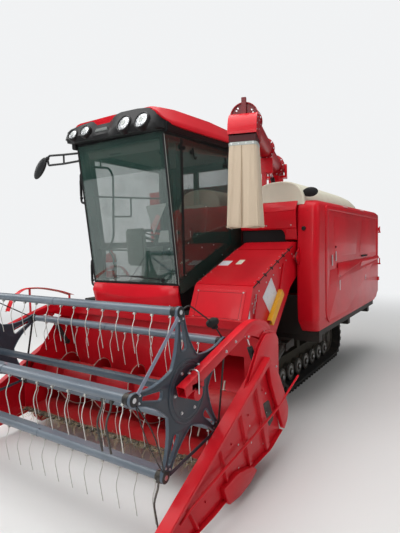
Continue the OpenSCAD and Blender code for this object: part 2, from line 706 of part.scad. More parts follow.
/* Feeder house and header */
trough_r = 232;
back_y = auger_y + trough_r + sheet_t;
module feeder_house() {
    color(red) {
        difference() {
            along_x(feeder_right, feeder_left - feeder_right) polygon([[-100, 1610], [-1000, 1276], [back_y, 985],
                [back_y, 330], [-1050, 330], [-240, 1200], [-60, 1300], [-60, 1610]]);
            along_x(feeder_right + 12, feeder_left - feeder_right - 24) polygon([[0, 1598], [-100, 1598], [-990, 1262], [back_y + 12, 975],
                [-1200, 900], [-1200, 342], [-1056, 342], [-248, 1212], [0, 1312]]);
        }
        for (x = [[feeder_right - 25 - pivot_plate - 4, feeder_right + 10], [feeder_left - 10, feeder_left + 25 + pivot_plate + 4]])
            bar_x(x[0], x[1], lift_y, lift_z, lift_pin);
        // Ears of the lift cylinders under the front
        for (x = lift_xs, s = [-1, 1]) along_x(x + s * 27 - 5, 10) polygon([[lift_b[0] - 34, lift_b[1] - 28], [lift_b[0] - 34, 345],
            [lift_b[0] + 30, 415], [lift_b[0] + 30, lift_b[1] - 28]]);
        for (x = lift_xs) bar_x(x - 32, x + 32, lift_b[0], lift_b[1], lift_eye_pin);
    }
}

function trough_inner() = concat([[lip_y, lip_z]],
    [for (i = [0 : 8]) let (a = -20 + i * 110 / 8) [auger_y + trough_r * sin(a), auger_z - trough_r * cos(a)]],
    [[auger_y + trough_r, back_top]]);
module header_trough() {
    t = sheet_t;
    inner = trough_inner();
    n = len(inner);
    outer = concat([[lip_y, lip_z - t]],
        [for (i = [0 : 8]) let (a = -20 + i * 110 / 8) [auger_y + (trough_r + t) * sin(a), auger_z - (trough_r + t) * cos(a)]],
        [[auger_y + trough_r + t, back_top]]);
    color(red) {
        difference() {
            along_x(header_right, header_left - header_right) polygon(concat(inner, [for (i = [0 : n - 1]) outer[n - 1 - i]]));
            block([feeder_right + 15, -1200, 260], [feeder_left - 15, -1100, 760]);
            // clear of the reel arms
            for (x = [header_right - 1, star_left]) block([x, -1200, 860], [x + 82, -1100, back_top + 1]);
        }
        // Skid shoes under the floor
        for (x = [header_right + 20, header_left - 80]) along_x(x, 60)
            polygon([[lip_y + 10, lip_z - 5], [lip_y + 40, 100], [-1600, 50], [-1500, 50], [-1460, lip_z]]);
        block([star_right + 3, back_y - 60, back_top - 5], [star_left - 3, back_y, back_top + 60]);
    }
}
module header_sides() {
    t = sheet_t;
    color(red) {
        for (x = [header_right - t, header_left]) difference() {
            along_x(x, t) polygon([[lip_y - 20, lip_z - 30], [lip_y - 20, 420], [-1500, 700], [-1240, back_top + 60],
                [-1000, back_top], [-1000, 600], [-1080, 300], [-1250, lip_z - 40]]);
            bar_x(x - 1, x + t + 1, auger_y, auger_z, auger_shaft_r + run_fit);
        }
        for (p = [[arm_pivot, 8, arm_pin], [reel_a, 20, reel_pin]]) {
            bar_x(star_left + p[1], header_left + 5, p[0][0], p[0][1], p[2]);
            bar_x(header_right - 5, star_right - p[1], p[0][0], p[0][1], p[2]);
        }
    }
}
arm_pin = 20;
reel_pin = 11;
auger_shaft_r = 25;
arm_w = 56;
arm_off = 16;
arm_hub_off = 9;
module cutter_bar() {
    n = floor((header_left - header_right) / guard_pitch);
    color([0.25, 0.24, 0.22]) {
        block([header_right, lip_y - 30, lip_z - 12], [header_left, lip_y, lip_z]);
        for (i = [0 : n - 1]) along_x(header_right + 20 + i * guard_pitch, 22)
            polygon([[lip_y - 20, lip_z - 2], [lip_y - 28, lip_z + 12], [lip_y - 70, lip_z - 4], [lip_y - 28, lip_z - 22], [lip_y - 20, lip_z - 14]]);
    }
}
module divider(x0, w) {
    along_x(x0, w) polygon([[-half_length, 100], [-half_length, 130], [-1300, 850], [-1260, 830], [-1700, 560], [-1740, 160],
        [-1900, 90], [-2500, 80]]);
}
module dividers() {
    color(red) {
        divider(header_left + sheet_t, half_width - header_left - sheet_t);
        divider(header_right - sheet_t - 46, 46);
    }
}

lift_a = [-240, 640];
lift_b = [-1010, 300];
lift_xs = [640, 1010];
lift_eye_pin = 8;
module lift_barrels() {
    color(black) for (x = lift_xs) barrel(x, lift_a, lift_b, 500, 34, 18, lift_pin, 55);
}
module lift_rods() {
    color(steel) for (x = lift_xs) piston_rod(x, lift_a, lift_b, 200, 18, lift_eye_pin, 26, 12);
}

// One turn-by-turn flight of a screw, from x0 to x1, of one hand.
module flight(x0, x1, hand) {
    turns = (x1 - x0) / flight_pitch;
    n = ceil(turns * 24);
    t = 6;
    pts = [for (i = [0 : n]) let (a = 360 * turns * i / n * hand + auger_turn, x = x0 + (x1 - x0 - t) * i / n)
        each [[x, (auger_tube_r - 3) * cos(a), (auger_tube_r - 3) * sin(a)], [x + t, (auger_tube_r - 3) * cos(a), (auger_tube_r - 3) * sin(a)],
            [x + t, flight_r * cos(a), flight_r * sin(a)], [x, flight_r * cos(a), flight_r * sin(a)]]];
    faces = concat([[0, 1, 2, 3]], [[4 * n + 3, 4 * n + 2, 4 * n + 1, 4 * n]],
        [for (i = [0 : n - 1], k = [0 : 3]) let (a = 4 * i + k, b = 4 * i + (k + 1) % 4) each [[a, a + 4, b], [b, a + 4, b + 4]]]);
    translate([0, auger_y, auger_z]) polyhedron(pts, hand > 0 ? faces : [for (f = faces) [for (j = [len(f) - 1 : -1 : 0]) f[j]]]);
}
auger_turn = -58.5;
module feed_auger() {
    color(red) {
        translate([header_right + 8, auger_y, auger_z]) rotate([0, 90, 0]) cylinder(r = auger_tube_r, h = header_left - header_right - 16, $fn = 48);
        bar_x(header_right - sheet_t, header_left + sheet_t, auger_y, auger_z, auger_shaft_r);
        flight(header_right + 20, feeder_right, 1);
        flight(feeder_left, header_left - 20, -1);
    }
}

arm_pivot = [-1050, 845];
module arm(x0, w) {
    along_x(x0, w) polygon([[reel_y - 120, reel_z + 5], [reel_y - 120, reel_z + 70], [-1560, 1080], [-1380, 1120], [-1200, 1100],
        [-1060, 990], [-1000, 880], [-1020, 800], [-1080, 800], [-1090, 880], [-1130, 970], [-1230, 1040], [-1380, 1050], [-1540, 1010]]);
}
module reel_arms() {
    color(red) for (x = [star_left + arm_off, star_right - arm_off - arm_w]) {
        hub_x = x > 0 ? star_left + arm_hub_off : x;
        difference() {
            union() {
                arm(x, arm_w);
                bar_x(hub_x, hub_x + arm_w + arm_off - arm_hub_off, reel_y, reel_z, 42);
                bar_x(x, x + arm_w, arm_pivot[0], arm_pivot[1], 46);
                // Ears of the reel cylinder
                for (s = [-1, 1]) along_x(x + arm_w / 2 + s * 19 - 4, 8) polygon([[reel_b[0] - 26, reel_b[1] - 20],
                    [reel_b[0] - 26, reel_b[1] + 40], [reel_b[0] + 26, reel_b[1] + 50], [reel_b[0] + 26, reel_b[1] - 20]]);
            }
            bar_x(x - 60, x + arm_w + 60, reel_y, reel_z, shaft_r + run_fit);
            bar_x(x - 60, x + arm_w + 60, arm_pivot[0], arm_pivot[1], arm_pin + run_fit);
        }
        bar_x(x + arm_w / 2 - 23, x + arm_w / 2 + 23, reel_b[0], reel_b[1], reel_eye_pin);
    }
}
shaft_r = 17;
reel_eye_pin = 6;
reel_a = [-1250, 700];
reel_b = [-1430, 1000];
reel_cyl_xs = [star_left + arm_off + arm_w / 2, star_right - arm_off - arm_w / 2];
module reel_barrels() {
    color(black) for (x = reel_cyl_xs) barrel(x, reel_a, reel_b, 240, 20, 10, reel_pin, 40);
}
module reel_rods() {
    color(steel) for (x = reel_cyl_xs) piston_rod(x, reel_a, reel_b, 110, 10, reel_eye_pin, 22, 3);
}

function bat_angle(i) = bat_phase + i * 360 / bat_count;
module at_bat(i, r) {
    a = bat_angle(i);
    translate([0, reel_y - r * sin(a), reel_z + r * cos(a)]) children();
}
star_t = 12;
star_hub_r = 175;
hub_lift = 3;
pin_r = 14;
module star(x0) {
    difference() {
        union() {
            bar_x(x0 - hub_lift, x0 + star_t + hub_lift, reel_y, reel_z, star_hub_r);
            for (i = [0 : bat_count - 1]) translate([x0, reel_y, reel_z]) rotate([bat_angle(i), 0, 0])
                along_x(0, star_t) polygon([[-95, 120], [-40, 250], [-34, reel_r + 30], [34, reel_r + 30], [40, 250], [95, 120]]);
        }
        for (i = [0 : bat_count - 1]) {
            at_bat(i, reel_r) translate([x0 - 5, 0, 0]) rotate([0, 90, 0]) cylinder(r = pin_r + 0.05, h = star_t + 10, $fn = 32);
            translate([x0, reel_y, reel_z]) rotate([bat_angle(i), 0, 0]) along_x(-5, star_t + 10)
                polygon([[-18, 220], [-14, 330], [14, 330], [18, 220]]);
        }
    }
}
module reel_stars() {
    color(blue_grey) {
        bar_x(star_right - arm_off - arm_w, star_left + arm_off + arm_w, reel_y, reel_z, shaft_r);
        star(star_left - star_t);
        star(star_right);
    }
}
function tine_curve(n) = [for (i = [0 : n]) let (s = i / n) [-38 * sin(180 * s) + 6 * s, -bat_r - 10 - (tine_len + 10) * s]];
module bat(i) {
    count = floor((star_left - star_right - 120) / tine_pitch) + 1;
    c = tine_curve(6);
    t = 5;
    color(blue_grey) at_bat(i - 1, reel_r) {
        translate([star_right + star_t + 5, 0, 0]) rotate([0, 90, 0]) cylinder(r = bat_r, h = star_left - star_right - 2 * star_t - 10, $fn = 32);
        along_x(star_right + star_t + 40, star_left - star_right - 2 * star_t - 80) polygon([[-4, -5], [4, -5], [4, -bat_r - 26], [-4, -bat_r - 26]]);
        translate([star_right - 10, 0, 0]) rotate([0, 90, 0]) cylinder(r = pin_r, h = star_left - star_right + 20, $fn = 32);
        for (k = [0 : count - 1]) along_x(star_left - 60 - k * tine_pitch - t / 2, t)
            polygon(concat([for (p = c) [p[0] - t / 2, p[1]]], [for (j = [len(c) - 1 : -1 : 0]) [c[j][0] + t / 2, c[j][1]]]));
    }
}
module bat_1() { bat(1); }
module bat_2() { bat(2); }
module bat_3() { bat(3); }
module bat_4() { bat(4); }
module bat_5() { bat(5); }

chassis();
engine();
track_left();
track_right();
track_frame_left();
track_frame_right();
rollers_left();
rollers_right();
cab_floor();
cab_shell();
cab_glass();
cab_lower_panel();
cab_roof();
roof_visor();
lamps();
seat();
console();
mirror();
grab_handles();
steps();
cab_door();
door_glass();
thresher();
drum_cover();
front_cover();
side_cover();
grain_tank();
rear_hood();
side_screen();
auger_rest();
turret();
boom();
discharge_spout();
tilt_barrel();
tilt_rod();
feeder_house();
header_trough();
header_sides();
cutter_bar();
dividers();
lift_barrels();
lift_rods();
feed_auger();
reel_arms();
reel_barrels();
reel_rods();
reel_stars();
bat_1();
bat_2();
bat_3();
bat_4();
bat_5();
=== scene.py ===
import random
from math import ceil, copysign, cos, exp, pi, radians, sin

import bmesh
import bpy
from mathutils import Matrix, Vector


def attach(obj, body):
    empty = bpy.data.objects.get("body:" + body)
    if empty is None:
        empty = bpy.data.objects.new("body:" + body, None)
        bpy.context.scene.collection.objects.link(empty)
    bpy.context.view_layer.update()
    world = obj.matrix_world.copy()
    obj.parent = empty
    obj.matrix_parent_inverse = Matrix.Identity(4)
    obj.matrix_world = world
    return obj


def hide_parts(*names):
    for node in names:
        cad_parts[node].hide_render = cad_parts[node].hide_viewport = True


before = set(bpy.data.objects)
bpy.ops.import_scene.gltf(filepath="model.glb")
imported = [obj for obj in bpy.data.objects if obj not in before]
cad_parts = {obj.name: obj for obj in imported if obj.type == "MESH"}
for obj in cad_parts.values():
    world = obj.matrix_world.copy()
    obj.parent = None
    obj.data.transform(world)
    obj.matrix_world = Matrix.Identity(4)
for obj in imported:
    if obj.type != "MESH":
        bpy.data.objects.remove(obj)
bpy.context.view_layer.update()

# Lengths are in metres, in the machine's frame: the front faces -Y and +X is the machine's left.
PHOTO_SIZE = (400, 533)
SENSOR_LONG_SIDE = 36.0
BACKDROP = (0.88, 0.89, 0.9)
MERGE = 1e-5
THIN = 1e-4
SHARP = radians(34)
SOFTENED = radians(38)
FLOOR_REACH = 60.0
LEFT = 1
RIGHT = -1
X = (1, 0, 0)
Y = (0, 1, 0)
Z = (0, 0, 1)


class Value:
    """A socket of a material's node tree. Python's operators on it add Math nodes."""

    def __init__(self, finish, socket):
        self.finish = finish
        self.socket = socket

    def math(self, operation, *inputs):
        return self.finish.node("ShaderNodeMath", {"operation": operation}, inputs)

    def __add__(self, other):
        return self.math("ADD", self, other)

    def __sub__(self, other):
        return self.math("SUBTRACT", self, other)

    def __rsub__(self, other):
        return self.math("SUBTRACT", other, self)

    def __mul__(self, other):
        return self.math("MULTIPLY", self, other)

    def __truediv__(self, other):
        return self.math("DIVIDE", self, other)

    def __pow__(self, other):
        return self.math("POWER", self, other)

    __radd__ = __add__
    __rmul__ = __mul__

    def above(self, low, high):
        """0 below low and 1 above high, with a smooth step between; low may be the larger one."""
        return self.finish.node("ShaderNodeMapRange", {"interpolation_type": "SMOOTHSTEP"},
                (self, low, high))

    def larger(self, other):
        return self.math("MAXIMUM", self, other)


class Finish:
    """A material under construction, with the coordinates and masks that its finish needs."""

    def __init__(self, name):
        self.material = bpy.data.materials.new(name)
        self.material.use_nodes = True
        self.tree = self.material.node_tree
        self.shader = self.tree.nodes["Principled BSDF"]
        self.place = self.node("ShaderNodeTexCoord", output="Object")

    def node(self, kind, settings=None, inputs=None, output=0):
        """Adds a node: its settings first, then the values or links of its sockets."""
        made = self.tree.nodes.new(kind)
        for name, value in (settings or {}).items():
            setattr(made, name, value)
        pairs = inputs.items() if isinstance(inputs, dict) else enumerate(inputs or ())
        for key, value in pairs:
            self.feed(made.inputs[key], value)
        return Value(self, made.outputs[output])

    def feed(self, socket, value):
        if isinstance(value, Value):
            self.tree.links.new(value.socket, socket)
        elif hasattr(socket, "default_value") and hasattr(socket.default_value, "__len__"):
            socket.default_value = (*value, 1.0)[:len(socket.default_value)]
        else:
            socket.default_value = value

    def surface(self, **inputs):
        """Feeds the shader's sockets: base_color goes to Base Color, and so on."""
        for key, value in inputs.items():
            name = key.replace("_", " ").title().replace("Ior", "IOR")
            self.feed(self.shader.inputs[name], value)
        return self

    def along(self, axis):
        return self.node("ShaderNodeSeparateXYZ", None, (self.place,), "XYZ".index(axis))

    def facing(self, axis="Z"):
        normal = self.node("ShaderNodeNewGeometry", output="Normal")
        return self.node("ShaderNodeSeparateXYZ", None, (normal,), "XYZ".index(axis))

    def stretched(self, x, y, z):
        return self.node("ShaderNodeMapping", None, {"Vector": self.place, "Scale": (x, y, z)})

    def noise(self, scale, detail=3, stretch=None):
        where = self.stretched(*stretch) if stretch else self.place
        inputs = {"Vector": where, "Scale": scale, "Detail": detail, "Roughness": 0.6}
        return self.node("ShaderNodeTexNoise", None, inputs)

    def cells(self, scale, feature="F1", stretch=None):
        where = self.stretched(*stretch) if stretch else self.place
        return self.node("ShaderNodeTexVoronoi", {"feature": feature}, {"Vector": where, "Scale": scale})

    def mix(self, share, a, b):
        """A colour between a and b."""
        return self.node("ShaderNodeMix", {"data_type": "RGBA"}, {0: share, 6: a, 7: b}, 2)

    def weave(self, scale):
        """Upright and level threads."""
        inputs = {"Vector": self.place, "Scale": scale}
        return [self.node("ShaderNodeTexWave", {"bands_direction": way}, inputs) for way in "ZX"]

    def bump(self, height, depth, strength=0.5):
        inputs = {"Strength": strength, "Distance": depth, "Height": height}
        return self.surface(normal=self.node("ShaderNodeBump", None, inputs))

    def dust(self, amount, ground=1.0):
        """Where dust lies: on faces that look up, and more of it low down."""
        patches = self.noise(3.1, 5).above(0.42, 0.72)
        fine = self.noise(42, 4).above(0.35, 0.75)
        up = self.facing().above(0.25, 0.95)
        low = self.along("Z").above(1.1, 0.12)
        return (up * patches * 0.55 + up * fine * 0.25 + low * (0.25 + fine * 0.75) * ground) * amount


def sr(red, green, blue):
    """Linear colour from the 0 to 255 values of a colour picker."""
    return tuple(((c / 255 + 0.055) / 1.055) ** 2.4 if c > 10 else c / 255 / 12.92
            for c in (red, green, blue))


DUST = sr(150, 138, 120)
MUD = sr(92, 82, 68)


def paint(name, colour, shade, gloss=0.33, dust=0.06, coat=0.1, chips=0.0):
    """Sprayed enamel: faded in patches, slightly orange-peeled, with dust, fine scratches and chips."""
    f = Finish(name)
    faded = f.mix(f.noise(1.3, 4).above(0.3, 0.7), shade, colour)
    dusty = f.dust(dust, 0.15)
    scratch = f.noise(9, 6, (1.0, 7.0, 34.0)).above(0.66, 0.74)
    base = f.mix(scratch * 0.25, faded, [min(1, c * 1.6 + 0.05) for c in colour])
    if chips:
        worn = (f.noise(26, 5).above(0.66, 0.7) * f.noise(4.2, 3).above(0.5, 0.62)) * chips
        base = f.mix(worn, base, sr(96, 84, 76))
    base = f.mix(dusty, base, DUST)
    f.surface(base_color=base, roughness=gloss + dusty * 0.5 + f.noise(5, 4) * 0.12 + scratch * 0.1)
    f.surface(coat_weight=(1 - dusty) * coat, coat_roughness=0.08, specular_ior_level=0.24)
    return f.bump(f.noise(230, 2) * 0.7 + f.noise(24, 3) * 0.3, 0.0006, 0.25).material


def body_paint(name):
    """Red above, near black in front and below: painted shade under the side cover and the body, mottled by
    noise.
    """
    f = Finish(name)
    # Where the shade is painted: everything low down, and faces that look forward below the cover's top
    low = f.along("Z").above(1.026, 1.018)
    front = (f.facing("Y") * -1).above(0.5, 0.8) * f.along("Z").above(1.72, 1.66)
    dark = low.larger(front)
    red = f.mix(f.noise(1.3, 4).above(0.3, 0.7), sr(176, 8, 24), sr(198, 12, 32))
    # The painted shade's colour: near black, mottled by noise
    grime = f.mix(f.noise(8, 5), sr(30, 28, 26), sr(52, 47, 42))
    f.surface(base_color=f.mix(dark, red, grime), roughness=0.36 + dark * 0.25, specular_ior_level=0.35)
    return f.bump(f.noise(60, 4), 0.0008, 0.3).material


def moulded(name, colour, gloss=0.5, grain=520, dust=0.3):
    """Moulded plastic or rubbery coating with a fine grain and dust."""
    f = Finish(name)
    dusty = f.dust(dust)
    patch = f.noise(2.2, 4)
    base = f.mix(patch * 0.5, colour, [c * 1.5 + 0.004 for c in colour])
    f.surface(base_color=f.mix(dusty, base, DUST), roughness=gloss + dusty * 0.3 + patch * 0.15)
    f.surface(specular_ior_level=0.3)
    return f.bump(f.noise(grain, 2), 0.0005, 0.35).material


def metal(name, colour, gloss=0.35, rust=0.2, dust=0.2, metallic=1.0):
    """Bare or plated steel with a fine grain, rust spots and grime."""
    f = Finish(name)
    spots = f.noise(17, 6).above(0.74 - 0.3 * rust, 0.84 - 0.2 * rust) * min(1.0, rust * 3)
    dusty = f.dust(dust)
    grain = f.noise(90, 4)
    base = f.mix(grain * 0.6, colour, [c * 0.6 for c in colour])
    base = f.mix(spots, base, sr(104, 62, 38))
    f.surface(base_color=f.mix(dusty, base, DUST), metallic=metallic * (1 - spots.larger(dusty)))
    f.surface(roughness=gloss + grain * 0.15 + spots * 0.4 + dusty * 0.3)
    return f.bump(grain * 0.5 + spots, 0.0008, 0.3).material


def rubber(name):
    """Track rubber: dull black, dry mud in the hollows and a dusty bloom."""
    f = Finish(name)
    clods = f.noise(21, 6).above(0.5, 0.72)
    bloom = f.noise(3.4, 5).above(0.4, 0.7)
    low = f.along("Z").above(0.65, 0.05)
    soil = (clods * 0.5 + bloom * 0.35) * (0.25 + low * 0.55)
    f.surface(base_color=f.mix(soil, sr(31, 31, 32), MUD), roughness=0.72 + soil * 0.25)
    return f.bump(f.noise(160, 4) * 0.6 + clods * 0.8, 0.002, 0.5).material


def cracked_mud(name):
    """Dry soil and chaff that sticks to the cutter bar."""
    f = Finish(name)
    crumbs = f.noise(70, 6)
    base = f.mix(crumbs.above(0.35, 0.65), sr(58, 50, 40), sr(128, 116, 92))
    f.surface(base_color=base, roughness=0.95)
    return f.bump(crumbs + f.noise(18, 4), 0.004, 0.8).material


def straw(name):
    """Dry stalks, each of a slightly different tint."""
    f = Finish(name)
    tint = f.noise(38, 2).above(0.35, 0.65)
    f.surface(base_color=f.mix(tint, sr(128, 118, 92), sr(196, 184, 148)), roughness=0.8)
    return f.bump(f.noise(600, 2, (1, 1, 0.2)), 0.0004, 0.4).material


def window(name, tint, low, high):
    """Tinted safety glass: clearer seen square on, mirroring at a slant, with a dusty foot and smears."""
    f = Finish(name)
    slant = f.node("ShaderNodeLayerWeight", None, {"Blend": 0.28}, "Facing")
    film = f.noise(2.6, 6).above(0.45, 0.8) * 0.16 + f.along("Z").above(low + 0.25, low) * 0.12
    base = f.mix(film * 2, (0.05, 0.13, 0.105), sr(150, 150, 140))
    f.surface(base_color=base, roughness=0.02 + film * 0.3, alpha=tint + slant * high + film)
    return f.surface(specular_ior_level=1.0, ior=1.7, coat_weight=1.0, coat_roughness=0.02,
            coat_ior=2.0).material


def lens(name, bright=(0.85, 0.87, 0.87), dark=(0.19, 0.2, 0.22)):
    """Lamp glass: small square prisms over a bright reflector."""
    f = Finish(name)
    ribs = f.cells(95, "F1", (1.0, 0.05, 1.0))
    f.surface(base_color=f.mix(ribs.above(0.2, 0.7), bright, dark))
    f.surface(roughness=0.12 + ribs * 0.2, metallic=0.35, coat_weight=1.0, coat_roughness=0.03)
    return f.bump(ribs, 0.002, 0.6).material


def canvas(name):
    """Coated canvas: a fine weave, soft vertical creases and stains running down."""
    f = Finish(name)
    warp, weft = f.weave(240)
    stain = f.noise(7, 5, (1.0, 1.0, 0.14)).above(0.45, 0.75)
    base = f.mix(stain * 0.35, sr(203, 184, 160), sr(160, 140, 118))
    base = f.mix(f.noise(130, 3) * 0.18, base, sr(228, 212, 190))
    f.surface(base_color=base, roughness=0.82 - stain * 0.08, sheen_weight=0.15)
    return f.bump((warp + weft) * 0.35 + f.noise(14, 3, (1, 1, 0.25)), 0.0012, 0.35).material


def shell_plastic(name):
    """Pale glass-fibre moulding, chalky, with rain streaks."""
    f = Finish(name)
    streak = f.noise(11, 5, (1.0, 1.0, 0.2)).above(0.5, 0.75)
    dusty = f.dust(0.35, 0.0)
    base = f.mix(streak * 0.22, sr(226, 222, 202), sr(178, 172, 148))
    f.surface(base_color=f.mix(dusty, base, sr(186, 178, 158)), roughness=0.5 + streak * 0.12)
    return f.bump(f.noise(60, 3) * 0.5 + f.noise(300, 2) * 0.5, 0.0008, 0.2).material


def cloth_cover(name, colour):
    f = Finish(name)
    warp, weft = f.weave(700)
    base = f.mix(warp * weft, colour, [c * 1.9 + 0.01 for c in colour])
    f.surface(base_color=base, roughness=0.9, sheen_weight=0.3)
    return f.bump(warp + weft, 0.0005, 0.5).material


def pale_plate(name):
    """A blank pale plate with a worn, slightly grimy surface."""
    f = Finish(name)
    grime = f.noise(40, 5).above(0.5, 0.75)
    f.surface(base_color=f.mix(grime * 0.35, sr(216, 216, 220), sr(150, 146, 144)), roughness=0.42)
    return f.bump(f.noise(200, 2), 0.0003, 0.2).material


def plain_floor(name):
    """Smooth pale ground that turns into the backdrop's colour far from the machine."""
    f = Finish(name)
    f.surface(base_color=f.mix(f.noise(0.6, 3) * 0.3, (0.7, 0.7, 0.69), (0.76, 0.76, 0.75)), roughness=0.9)
    f.surface(specular_ior_level=0.1)
    x, y = f.along("X"), f.along("Y")
    away = ((x * x + y * y) ** 0.5).above(3.4, 10.0)
    glow = f.node("ShaderNodeEmission", None, {"Color": BACKDROP, "Strength": 1.0})
    both = f.node("ShaderNodeMixShader", None, (away, Value(f, f.shader.outputs[0]), glow))
    f.feed(f.tree.nodes["Material Output"].inputs["Surface"], both)
    return f.material


RED = paint("red_enamel", sr(212, 14, 34), sr(190, 8, 26))
LOW_RED = paint("red_enamel_low", sr(190, 14, 30), sr(160, 8, 22), dust=0.3, chips=0.6)
# A darker copy of the red: painted shade on the boom, the feed auger and a divider plate's inner face
SHADED_RED = paint("red_enamel_shaded", sr(168, 12, 28), sr(140, 8, 20), gloss=0.4, dust=0.2)
REEL_GREY = paint("reel_enamel", sr(64, 74, 84), sr(50, 58, 68), gloss=0.36, dust=0.25, coat=0.25,
        chips=0.35)
BAR_GREY = paint("bat_enamel", sr(112, 122, 132), sr(92, 102, 112), gloss=0.28, dust=0.15, coat=0.4,
        chips=0.3)
YELLOW = paint("yellow_enamel", sr(236, 176, 20), sr(220, 150, 10), dust=0.4, chips=0.5)
BLACK = moulded("black_coating", sr(26, 27, 29), gloss=0.38)
VISOR_BLACK = moulded("visor_plastic", sr(13, 13, 14), gloss=0.35, grain=300, dust=0.04)
SOFT_BLACK = moulded("black_rubber", sr(22, 22, 23), gloss=0.65)
DARK_STEEL = metal("dark_steel", sr(74, 74, 74), gloss=0.5, rust=0.35, dust=0.5, metallic=0.7)
BRIGHT = metal("bright_steel", sr(205, 206, 208), gloss=0.22, rust=0.08, dust=0.12)
CHROME = metal("chromed_rod", sr(225, 226, 228), gloss=0.08, rust=0.0, dust=0.15)
WIRE = metal("spring_wire", sr(214, 214, 208), gloss=0.35, rust=0.05, dust=0.05, metallic=0.5)
TAIL_RED = lens("tail_lamp_red", sr(190, 16, 18), sr(120, 6, 10))
TAIL_AMBER = lens("tail_lamp_amber", sr(232, 128, 20), sr(170, 80, 10))
# Dark red that paints the shade inside the boom's mouth
GAP_SHADE_RED = paint("painted_shade_red", sr(84, 12, 20), sr(60, 8, 14), gloss=0.45, coat=0.05)
SEAM = cloth_cover("seam_tape", sr(150, 130, 106))
WORN_EDGE = metal("worn_flight_edge", sr(206, 198, 186), gloss=0.4, rust=0.5, dust=0.2, metallic=0.5)
RIM_SILVER = metal("roller_rim_steel", sr(186, 186, 184), gloss=0.3, rust=0.2, dust=0.2)
WIRE_DIRT = straw("grey_straw")
# Dark grey for the chassis: painted shade under the body, with dust and chips on it
UNDER_SHADE = paint("painted_under_shade", sr(52, 48, 44), sr(36, 33, 30), gloss=0.55, dust=0.3, coat=0.05,
        chips=0.3)
FRAME_BROWN = paint("muddy_frame", sr(66, 62, 50), sr(46, 43, 36), gloss=0.6, dust=0.3, coat=0.0, chips=0.2)
BODY_RED = body_paint("thresher_red_with_painted_shade")
SHADE_RED = paint("red_enamel_dark", sr(120, 12, 22), sr(98, 8, 16), gloss=0.45, dust=0.3, coat=0.2)
MIRROR = metal("mirror_silver", sr(150, 160, 172), gloss=0.06, rust=0.0, dust=0.1)
CONSOLE_GREY = moulded("console_grey", sr(92, 96, 88), gloss=0.5, dust=0.1)
HEADLINER = moulded("headliner", sr(112, 110, 106), gloss=0.9)
PINK_TRIM = moulded("pink_trim", sr(206, 164, 162), gloss=0.5)
PALE_RED = paint("pale_reflector", sr(232, 176, 176), sr(214, 150, 150), gloss=0.3, dust=0.2)
# Lighter blue-grey for the star plates' rims: painted highlight on their edges, with chips
REEL_EDGE_HIGHLIGHT = paint("reel_enamel_edge_highlight", sr(96, 108, 120), sr(76, 88, 100), gloss=0.3, dust=0.2, coat=0.25,
        chips=0.4)
BAR_PALE = paint("reel_bar_pale", sr(150, 154, 172), sr(132, 138, 156), gloss=0.4, dust=0.2, coat=0.1,
        chips=0.3)
RUBBER = rubber("track_rubber")
SOIL = cracked_mud("dry_soil")
STRAW = straw("dry_straw")
GLASS = window("cab_glass", 0.2, 1.2, 0.55)
LENS = lens("lamp_lens")
CANVAS = canvas("spout_canvas")
CREAM = shell_plastic("cream_moulding")
SEAT_CLOTH = cloth_cover("seat_cloth", sr(44, 46, 48))
PLATE = pale_plate("blank_plate")
GREY_TRIM = moulded("grey_trim", sr(96, 100, 98), gloss=0.5)
PALE_TRIM = moulded("pale_trim", sr(168, 172, 168), gloss=0.5)
DARK_TRIM = moulded("dark_trim", sr(46, 49, 48), gloss=0.5)
FLOOR = plain_floor("floor")


def rounded(points, radius, steps=4, closed=True):
    """The outline with its corners turned into arcs, each no longer than its sides allow."""
    points = [Vector(p) for p in points]
    count = len(points)
    made = []
    for i, p in enumerate(points):
        if not closed and i in (0, count - 1):
            made.append(p)
            continue
        back = points[i - 1] - p
        on = points[(i + 1) % count] - p
        reach = min(radius, back.length * 0.45, on.length * 0.45)
        turn = back.angle(on, pi)
        if reach < 1e-5 or turn > pi - 0.02:
            made.append(p)
            continue
        start = p + back.normalized() * reach
        end = p + on.normalized() * reach
        for step in range(steps + 1):
            t = step / steps
            made.append(start * (1 - t) ** 2 + p * 2 * t * (1 - t) + end * t ** 2)
    return made


def at_x(x, pairs):
    """Points in the plane at x, from pairs of y and z."""
    return [(x, y, z) for y, z in pairs]


def prism(xs, pairs):
    """The same outline of y and z at each x."""
    return [(x, y, z) for x in xs for y, z in pairs]


def box_points(xs, ys, zs):
    return [(x, y, z) for x in xs for y in ys for z in zs]


def circle(radius, sides):
    angles = [radians(360 * i / sides) for i in range(sides)]
    return [(radius * cos(a), radius * sin(a)) for a in angles]


# Columns: where the outline's two directions and the thickness of a plate go, for each axis
PLATE_AXES = {
    X: Matrix(((0, 0, 1, 0), (1, 0, 0, 0), (0, 1, 0, 0), (0, 0, 0, 1))),
    Y: Matrix(((1, 0, 0, 0), (0, 0, 1, 0), (0, 1, 0, 0), (0, 0, 0, 1))),
    Z: Matrix.Identity(4),
}


def frame_to(axis, side=None):
    """Rotation whose Z follows axis and whose X lies as near as it can to side."""
    z = Vector(axis).normalized()
    hint = Vector(side) if side else Vector(Z) if abs(z.z) < 0.9 else Vector(X)
    x = (hint - z * hint.dot(z)).normalized()
    return Matrix((x, z.cross(x), z)).transposed().to_4x4()


